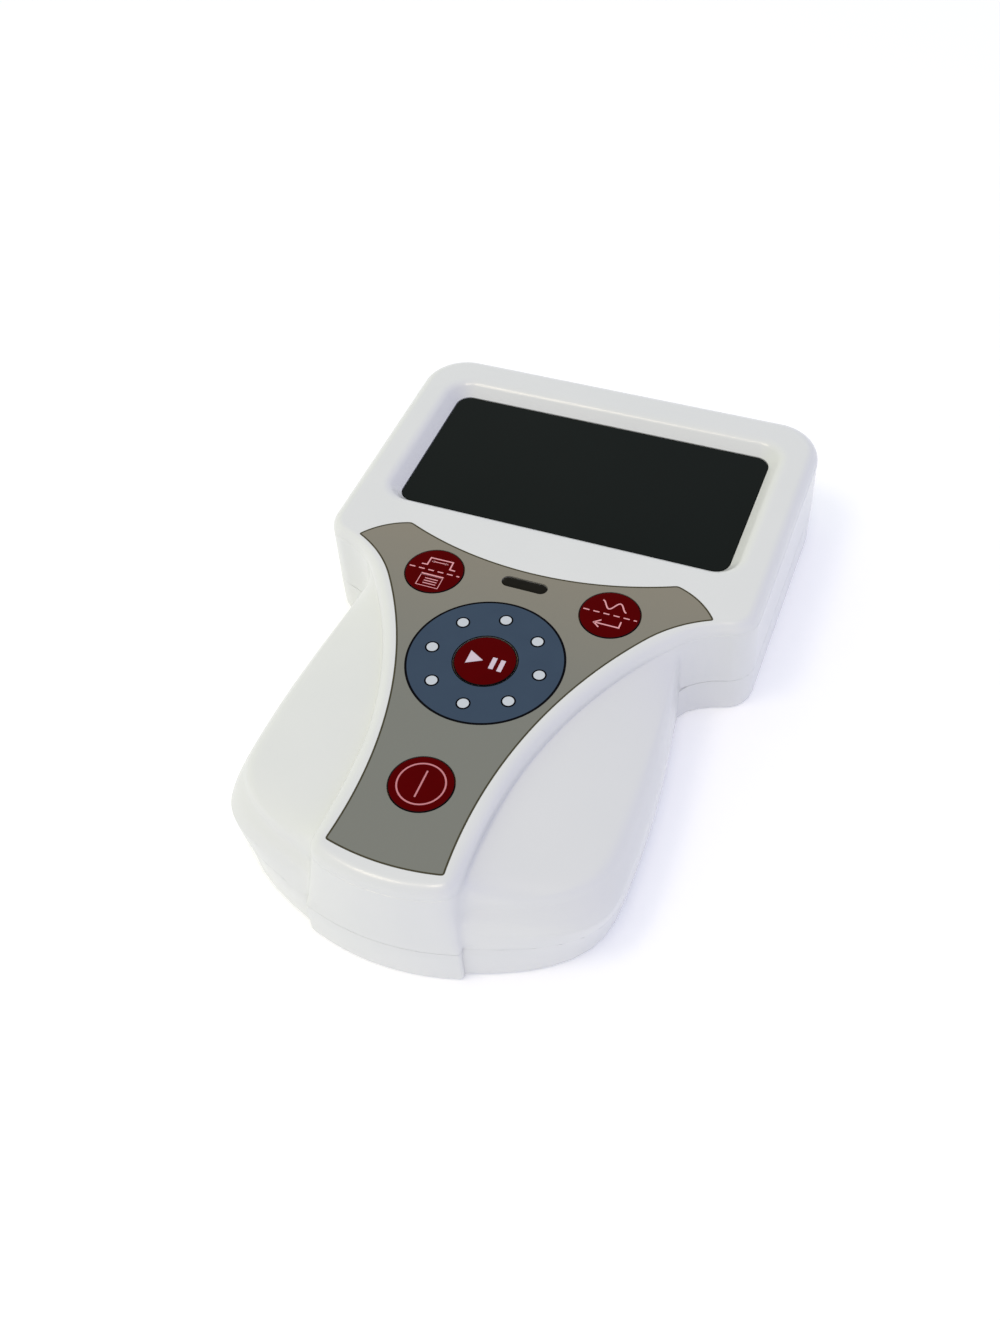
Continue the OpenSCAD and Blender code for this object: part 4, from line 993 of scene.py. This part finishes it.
    def inks(self) -> None:
        """Makes the printed ring, its dots and the dark line round the film, as thin layers of ink; the line round
        the film is partly a printed border and partly painted shade in the seam between the film and its recess.
        """
        top = self.plan.housing_h
        skin = Surface()
        hole = self.key_r + self.key_gap
        self.band(skin, (0, 0), hole + self.hub_gap, self.ring_r, top + self.ink, 0)
        self.band(skin, (0, 0), hole + self.hub_line, self.ring_r - self.ring_line, top + 2 * self.ink, 1)
        for turn in np.radians(90 + np.arange(self.dots) * 360 / self.dots):
            centre = (self.dot_orbit * math.cos(turn), self.dot_orbit * math.sin(turn))
            self.spot(skin, centre, self.dot_r + self.dot_line, top + 3 * self.ink, 0)
            self.spot(skin, centre, self.dot_r, top + 4 * self.ink, 2)
        # The dark line round the film: printed border and painted seam shade in one.
        outer = self.outline()
        line = np.concatenate([grown(outer, -inset) for inset in self.edge_line])
        skin.layer(line, strip_faces(2, len(outer)), top, top + self.ink, 3)
        finishes = [Finishes.BLACK_INK, Finishes.SLATE_INK, Finishes.WHITE_INK, Finishes.EDGE_INK_AND_SEAM_SHADE]
        settle(skin.object("keypad_inks", finishes, self.plan.datum_y), HOUSING, "overlay_taupe")

    def band(self, skin: Surface, centre: Sequence[float], inner: float, outer: float, z: float, finish: int) -> None:
        """Adds a flat ring of ink between two radii, with its top at z."""
        rings = [circle(centre, radius, self.ring_steps) for radius in (outer, inner)]
        skin.layer(np.concatenate(rings), strip_faces(2, len(rings[0])), z - self.ink, z, finish)

    def spot(self, skin: Surface, centre: Sequence[float], radius: float, z: float, finish: int) -> None:
        """Adds a round spot of ink, with its top at z."""
        points, faces = fill([circle(centre, radius, self.dot_steps)], z)
        skin.layer(points[:, :2], faces, z - self.ink, z, finish)

    def lens(self) -> None:
        """Makes the status lens: a light pipe with a softly crowned top."""
        top = self.plan.housing_h - self.lens_sink
        rows = [(0.0, self.lens_foot_z)] + [(inset, top - drop) for inset, drop in self.lens_crown]
        skin = Surface()
        skin.capped([at_height(self.status_outline(-inset), z) for inset, z in rows])
        settle(skin.object("status_light_pipe", [Finishes.LENS], self.plan.datum_y), HOUSING, "smoked_lens",
               "status_lens")

    def key(self, name: str, place: tuple[float, float]) -> None:
        """Makes a round key with a black rim and its symbol: a low crowned profile turned about the key's centre.

        Args:
            name: the key's CAD node.
            place: its centre in plan.
        """
        deck = self.plan.housing_h
        crown = deck + self.key_crown
        rim = [(self.key_r, deck - self.overlay_t), (self.key_r, deck),
               (self.key_r - self.rim_round[0], deck + self.rim_round[1]),
               (self.key_r - self.rim_line, crown - self.rim_drop)]
        face = [rim[-1], (self.key_r - self.key_edge, crown), (self.key_hub, crown)]
        turned = [[at_height(circle(place, r, self.key_steps), z) for r, z in rows] for rows in (rim, face)]
        skin = Surface()
        skin.rings(turned[0], 0)
        skin.rings(turned[1], 1)
        skin.add(*fill([turned[1][-1][:, :2]], crown), 1)
        skin.add(*fill([turned[0][0][:, :2]], deck - self.overlay_t, up=False), 0)
        for points, faces in Symbols.of(name):
            skin.layer(points + place, faces, crown, crown + self.ink, 2)
        finishes = [Finishes.BLACK_INK, Finishes.KEY_RED, Symbols.INKS[name]]
        settle(skin.object(name + "_film", finishes, self.plan.datum_y), name + "_cap", "key_red", name)


class Symbols:
    """Plain pictograms for the keys, as flat strokes about each key's centre."""

    LINE = 0.28
    DASH_COUNT, DASH_PITCH, DASH, DASH_LINE = 6, 2.0, 1.2, 0.26
    REACH = 5.3
    INKS = {"menu_key": Finishes.PINK_INK, "enter_key": Finishes.PINK_INK, "start_pause_key": Finishes.PALE_INK,
            "power_key": Finishes.ROSE_INK}

    @classmethod
    def of(cls, key: str) -> list[Patch]:
        """Returns the strokes of a key's symbol.

        Args:
            key: the key's CAD node.

        Returns:
            Pairs of plan points and faces.
        """
        return {"menu_key": cls.menu, "enter_key": cls.enter, "start_pause_key": cls.start_pause,
                "power_key": cls.power}[key]()

    @classmethod
    def line(cls, *points: tuple[float, float], width: float = LINE) -> Patch:
        """One stroke through the given points."""
        return stroke(np.array(points), width)

    @classmethod
    def point(cls, *corners: tuple[float, float]) -> Patch:
        """One solid arrowhead, its three corners given anticlockwise."""
        return np.array(corners), np.array([[0, 1, 2]])

    @classmethod
    def dashes(cls) -> list[Patch]:
        """A row of dashes from rim to rim, the last one cut short."""
        starts = -cls.REACH + cls.DASH_PITCH * np.arange(cls.DASH_COUNT)
        return [cls.line((x, 0.0), (min(x + cls.DASH, cls.REACH), 0.0), width=cls.DASH_LINE) for x in starts]

    @classmethod
    def menu(cls) -> list[Patch]:
        """A square pulse with a two-headed arrow in it above the dashes, and a listed page below.

        Returns:
            Its strokes.
        """
        pulse = cls.line((-3.2, 1.2), (-2.05, 1.25), (-2.0, 3.2), (2.7, 3.25), (2.75, 1.25), (3.9, 1.2))
        arrow = [cls.line((-1.3, 2.35), (1.75, 2.4), width=0.18),
                 cls.point((-1.6, 2.35), (-0.9, 2.1), (-0.9, 2.6)),
                 cls.point((2.05, 2.4), (1.35, 2.65), (1.35, 2.15))]
        head = cls.line((-2.2, -1.3), (2.45, -1.3), width=0.5)
        page = stroke(np.array([(-2.15, -1.45), (-2.15, -4.3), (2.4, -4.3), (2.4, -1.45)]), 0.14, closed=True)
        lines = [cls.line((-1.0, y), (1.7, y), width=0.2) for y in (-2.25, -2.9, -3.55)]
        return [*cls.dashes(), pulse, *arrow, head, page, *lines]

    @classmethod
    def enter(cls) -> list[Patch]:
        """A sine wave of a turn and a half above the dashes and a return arrow below.

        Returns:
            Its strokes.
        """
        half, height, turns = 2.6, 0.95, 1.5
        x = np.linspace(-half, half, 48)
        wave = np.stack([x + 0.2, 2.3 + height * np.sin(x * np.pi / half * turns)], axis=1)
        shaft = cls.line((2.6, -1.15), (2.6, -2.7), (-2.2, -2.7))
        head = cls.line((-1.1, -1.75), (-2.3, -2.7), (-1.1, -3.65))
        return [*cls.dashes(), stroke(wave, cls.LINE), shaft, head]

    @classmethod
    def start_pause(cls) -> list[Patch]:
        """A solid arrowhead and two bars."""
        head = cls.point((-3.35, -1.65), (-0.4, -0.05), (-3.35, 1.55))
        return [head, *(cls.line((x, y - 1.4), (x, y + 1.4), width=0.9) for x, y in ((1.6, -0.15), (3.3, -0.3)))]

    @classmethod
    def power(cls) -> list[Patch]:
        """A ring with an upright bar inside it."""
        ring = circle((0, 0), 4.3, 96)
        return [stroke(ring, 0.3, closed=True), cls.line((0.0, -2.9), (0.0, 2.9), width=0.31)]


@dataclass
class Shells:
    """The two moulded halves of the housing.

    A share is a part of a hip's width beside the spine: 1 at its widest and 0 on the spine's own wall. edge_mid says
    how far in from both faces, in radii, the middle of the parting line's rounding lies.
    """

    plan: HousingPlan
    display: Display
    keypad: Keypad
    wall: float = 2.0
    deck_fillet: float = 2.5
    tip_ease: float = 1.1
    tip_y: float = 20.5
    tip_run: float = 4.5
    deck_margin: float = 0.12
    lean_power: float = 1.5
    ridge_z: float = 17.4
    ridge_run: float = 2.3
    ridge_soft: float = 1.5
    cheek_start: float = 0.91
    cheek_bow: float = 0.25
    crease_z: float = 21.36
    crease_share: float = 0.16
    crease_rise: float = 0.12
    ceiling_z: float = 18.71
    ceiling_edge: float = 0.4
    inner_share: float = 0.9
    inner_drop: float = 2.2
    inner_corner: float = 4.05
    recess_gap: float = 0.04
    edge_r: float = 0.13
    edge_mid: float = 0.3
    wall_steps: int = 9
    ridge_steps: int = 10
    cheek_steps: int = 16
    hollow_steps: int = 8
    roll_steps: int = 12
    hole_turn: int = 15

    def section(self) -> list[tuple[float, float]]:
        """A hip's outer section as height and share of its width, from the band up to the crease.

        It draws in below the belly as a parabola, leans in above it as a power of the height, turns over a soft ridge
        as a quadratic curve and then climbs the cheek to the crease, which it meets in a small hollow.

        Returns:
            Pairs of height and share.
        """
        plan = self.plan
        low = [(z, plan.tuck(z)) for z in (*self.hole_rows(), plan.belly_z)]
        rise = np.linspace(plan.belly_z, self.ridge_z - self.ridge_soft, self.wall_steps)[1:] - plan.belly_z
        run = self.ridge_run / plan.hip_span * (rise / (self.ridge_z - plan.belly_z)) ** self.lean_power
        wall = np.stack([plan.belly_z + rise, 1 - run], axis=1)
        lean = self.lean_power * (1 - wall[-1, 1]) / rise[-1]
        corner = np.array([self.ridge_z, wall[-1, 1] - lean * self.ridge_soft])
        out = np.linspace(self.cheek_start, self.crease_share, self.cheek_steps)
        drop = (self.crease_z - self.ridge_z) * ((1 - self.cheek_bow) * out + self.cheek_bow * out * out)
        cheek = np.stack([self.crease_z - drop, corner[1] * out], axis=1)
        crease = np.array([[self.crease_z, 0.0], [self.crease_z + self.crease_rise, 0.0]])
        ridge = bend(wall[-1], corner, cheek[0], self.ridge_steps)[1:-1]
        hollow = bend(cheek[-1], *crease, self.hollow_steps)[1:]
        return [*low, *wall.tolist(), *ridge.tolist(), *cheek.tolist(), *hollow.tolist()]

    def build(self) -> None:
        """Makes both shells."""
        self.upper()
        settle(welded_copy("bottom_shell", "lower_shell", Finishes.SHELL), HOUSING, "shell_white", "bottom_shell")

    def hole_rows(self) -> np.ndarray:
        """Heights of the rows beside the socket's hole, in even turns up to its crown."""
        return self.plan.socket_z + self.plan.socket_r * np.sin(np.radians(np.arange(0, 91, self.hole_turn)))

    def deck_edge(self) -> list[np.ndarray]:
        """The deck's rolled edge: a quarter circle, tighter by a bell curve where the keypad's tips come close to it.

        Returns:
            Rings from the top of the wall to the flat of the deck.
        """
        plan = self.plan
        lean = plan.drafted(plan.housing_h)
        edge_z = plan.housing_h - self.deck_fillet
        y = plan.half(edge_z, 0.0, plan.tail_corner_r)[:, 1]
        roll = self.deck_fillet - self.tip_ease * np.exp(-(((y - self.tip_y) / self.tip_run) ** 2))
        turns = np.linspace(0, math.pi / 2, self.roll_steps)
        rows = [(lean + roll * (1 - math.cos(t)), plan.housing_h - roll * (1 - math.sin(t))) for t in turns]
        rows.append((lean + roll + self.deck_margin, np.full(len(y), plan.housing_h)))
        return [plan.ring(edge_z, 0.0, plan.tail_corner_r, inset, level) for inset, level in rows]

    def upper(self) -> None:
        """Makes the upper shell: outer skin, deck with its two sunk places, and a plain inner wall."""
        plan = self.plan
        foot = plan.parting_z
        lean = plan.drafted(plan.housing_h)
        middle = self.edge_mid * self.edge_r
        rounding = [(foot, self.edge_r), (foot + middle, middle), (foot + self.edge_r, 0.0)]
        sides = rounding + [(z, 0.0) for z in self.hole_rows()]
        inner = [(plan.crease_z, 0.0, lean + self.wall + self.ceiling_edge, self.ceiling_z),
                 (plan.crease_z, 0.0, lean + self.wall, self.ceiling_z - self.ceiling_edge),
                 (plan.shoulder_z, self.inner_share, self.wall, plan.shoulder_z - self.inner_drop),
                 (plan.belly_z, 1.0, self.wall, plan.belly_z)]
        inner += [(z, plan.tuck(z), self.wall, z) for z, _ in sides[::-1]]
        rings = [plan.ring(z, share, self.inner_corner, inset, level) for z, share, inset, level in inner]
        turned = len(rings)
        for z, inset in rounding:
            rings.append(plan.ring(foot, plan.tuck(foot), plan.corner_r(foot), plan.drafted(foot) + inset, z))
        rings += [plan.ring(z, share, plan.corner_r(z), plan.drafted(z), z) for z, share in self.section()]
        rings += self.deck_edge()
        bezel = self.display.bezel()
        recess = grown(self.keypad.outline(), self.recess_gap)
        skin = Surface()
        skin.rings(rings, closed=False)
        inside, outside = rings[turned - len(sides) : turned][::-1], rings[turned : turned + len(sides)]
        for end in (0, -1):
            walls = [np.array([ring[end] for ring in rows]) for rows in (inside, outside)]
            skin.rings(walls if end else walls[::-1], closed=False)
        skin.add(*fill([rings[0][:-1, :2]], self.ceiling_z, up=False))
        skin.add(*fill([rings[-1][:-1, :2], bezel[0][:, :2], recess], plan.housing_h))
        skin.rings(bezel)
        skin.add(*fill([bezel[-1][:, :2]], self.display.pocket_z))
        skin.rings([at_height(recess, z) for z in (plan.housing_h, self.keypad.recess_z)])
        skin.add(*fill([recess], self.keypad.recess_z))
        settle(skin.object("upper_shell", [Finishes.SHELL], plan.datum_y), HOUSING, "shell_white", "top_shell")


class Fittings:
    """The pieces that keep their CAD shape: the underside's own and those inside."""

    WELDED = {
        "battery_door": ("door", Finishes.SHELL, "shell_white"),
        "case_screws": (HOUSING, Finishes.STEEL, "bright_steel"),
        "battery_cells": (HOUSING, Finishes.SLEEVE, "cell_sleeve"),
        "battery_springs": (HOUSING, Finishes.STEEL, "bright_steel"),
        "output_socket": (HOUSING, Finishes.COMPOUND, "component_black"),
    }
    PLAIN = {
        "window_tape": Finishes.FOAM, "display_gasket": Finishes.FOAM, "lcd_frame": Finishes.STEEL,
        "lcd_glass": Finishes.GLASS, "lcd_backlight": Finishes.DIFFUSER, "keypad_spacer": Finishes.CLEAR_FILM,
        "keypad_circuit": Finishes.AMBER_FILM, "snap_domes": Finishes.STEEL, "status_led": Finishes.DIFFUSER,
        "keypad_tail": Finishes.AMBER_FILM, "keypad_connector": Finishes.NYLON, "main_board": Finishes.BOARD,
        "microcontroller": Finishes.COMPOUND, "transformer_core": Finishes.FERRITE,
        "transformer_winding": Finishes.COPPER, "reservoir_capacitor": Finishes.CAN,
        "boost_inductor": Finishes.FERRITE, "buzzer": Finishes.COMPOUND, "battery_plates": Finishes.STEEL,
        "battery_leads": Finishes.SILICONE, "board_screws": Finishes.STEEL,
    }

    def build(self) -> None:
        """Dresses each piece with its finish."""
        for node, (body, finish, slot) in self.WELDED.items():
            settle(welded_copy(node, node + "_dressed", finish), body, slot, node)
        for node, finish in self.PLAIN.items():
            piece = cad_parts[node]
            if not piece.material_slots:
                piece.data.materials.append(finish.material())
            for slot in piece.material_slots:
                slot.material = finish.material()
            log.info("%s: %s", node, finish.name)


@dataclass
class Studio:
    """Pale floor, soft lights and the camera.

    The spans of the room's light are in the height, or the X, of the direction that is looked at, from -1 to 1.
    """

    camera_mm: tuple[float, float, float] = (72.63, -165.28, 216.23)
    view: tuple[float, float, float] = (-0.27591, 0.59303, -0.75644)
    right: tuple[float, float, float] = (0.92908, 0.36623, -0.05176)
    lens_mm: float = 37.54
    sensor_mm: float = 36.0
    clip_start: float = 0.01
    floor_half: float = 3.0
    horizon: float = 1.15
    ceiling: float = 1.05
    level_span: tuple[float, float] = (0.5, 0.8)
    tint_span: tuple[float, float] = (0.02, 0.3)
    side_span: tuple[float, float] = (-0.8, 0.8)
    horizon_tint: str = "f6f6f6"
    left_tint: str = "e6eddf"
    right_tint: str = "bbbee4"
    softbox_tint: str = "fff1d4"
    softbox_size: float = 0.36
    # Backlit acrylic table: bright enough that shadows nearly vanish, with a faint cloudiness.
    floor: Finish = Finish("backlit_table_acrylic", "f4f4f5", "f1f1f2", 400.0, (0.7, 0.8), specular=0.2, glow=0.2)

    def build(self) -> None:
        """Makes the floor, the room, the lights and the camera."""
        half = self.floor_half
        mesh = bpy.data.meshes.new("floor")
        mesh.from_pydata([(-half, -half, 0), (half, -half, 0), (half, half, 0), (-half, half, 0)], [], [(0, 1, 2, 3)])
        mesh.materials.append(self.floor.material())
        ground = bpy.data.objects.new("floor", mesh)
        bpy.context.scene.collection.objects.link(ground)
        self.room()
        self.softbox("softbox_left", (-0.42, -0.38, 1.2), 2.6)
        self.softbox("softbox_right", (0.1, -0.34, 1.27), 2.4)
        self.place_camera()

    def room(self) -> None:
        """Lights the scene from a pale room: white at the horizon, then warm on the left and cool on the right."""
        world = bpy.data.worlds.new("pale_room")
        world.use_nodes = True
        tree = world.node_tree
        tree.nodes.clear()
        axes = add(tree, "ShaderNodeSeparateXYZ", {"Vector": add(tree, "ShaderNodeTexCoord").outputs["Generated"]})
        level = add(tree, "ShaderNodeMapRange", {
            "Value": axes.outputs["Z"], "From Min": self.level_span[0], "From Max": self.level_span[1],
            "To Min": self.horizon, "To Max": self.ceiling}, interpolation_type="SMOOTHSTEP")
        side = add(tree, "ShaderNodeMapRange", {
            "Value": axes.outputs["X"], "From Min": self.side_span[0], "From Max": self.side_span[1]})
        sides = add(tree, "ShaderNodeMix", {
            0: side.outputs["Result"], 6: linear(self.left_tint), 7: linear(self.right_tint)}, data_type="RGBA")
        upper = add(tree, "ShaderNodeMapRange", {
            "Value": axes.outputs["Z"], "From Min": self.tint_span[0], "From Max": self.tint_span[1]})
        tint = add(tree, "ShaderNodeMix", {
            0: upper.outputs["Result"], 6: linear(self.horizon_tint), 7: sides.outputs[2]}, data_type="RGBA")
        glow = add(tree, "ShaderNodeBackground", {"Color": tint.outputs[2], "Strength": level.outputs["Result"]})
        add(tree, "ShaderNodeOutputWorld", {"Surface": glow.outputs["Background"]})
        bpy.context.scene.world = world
        bpy.context.scene.view_settings.view_transform = "Standard"

    def softbox(self, name: str, place: Sequence[float], power: float) -> None:
        """Adds a square area light that faces the part's origin.

        Args:
            name: the light's name.
            place: its position in metres.
            power: watts.
        """
        light = bpy.data.lights.new(name, "AREA")
        light.size = self.softbox_size
        light.color = linear(self.softbox_tint)[:3]
        light.energy = power
        lamp = bpy.data.objects.new(name, light)
        lamp.location = place
        lamp.rotation_euler = (-Vector(place)).to_track_quat("-Z", "Y").to_euler()
        bpy.context.scene.collection.objects.link(lamp)

    def place_camera(self) -> None:
        """Adds the camera at the photograph's viewing angle."""
        lens = bpy.data.cameras.new("camera")
        lens.lens = self.lens_mm
        lens.sensor_width = self.sensor_mm
        lens.clip_start = self.clip_start
        ahead, right = Vector(self.view).normalized(), Vector(self.right).normalized()
        up = right.cross(ahead)
        turn = Matrix((right, up, -ahead)).transposed().to_4x4()
        camera = bpy.data.objects.new("camera", lens)
        camera.matrix_world = Matrix.Translation(Vector(self.camera_mm) * MM) @ turn
        bpy.context.scene.collection.objects.link(camera)
        bpy.context.scene.camera = camera


def main() -> None:
    """Builds each sub-assembly in order, then the studio round it."""
    logging.basicConfig(level=logging.INFO, format="%(name)s: %(message)s")
    plan = HousingPlan()
    display = Display(plan)
    keypad = Keypad(plan)
    Shells(plan, display, keypad).build()
    display.build()
    keypad.build()
    Fittings().build()
    Studio().build()


if __name__ == "__main__":
    main()
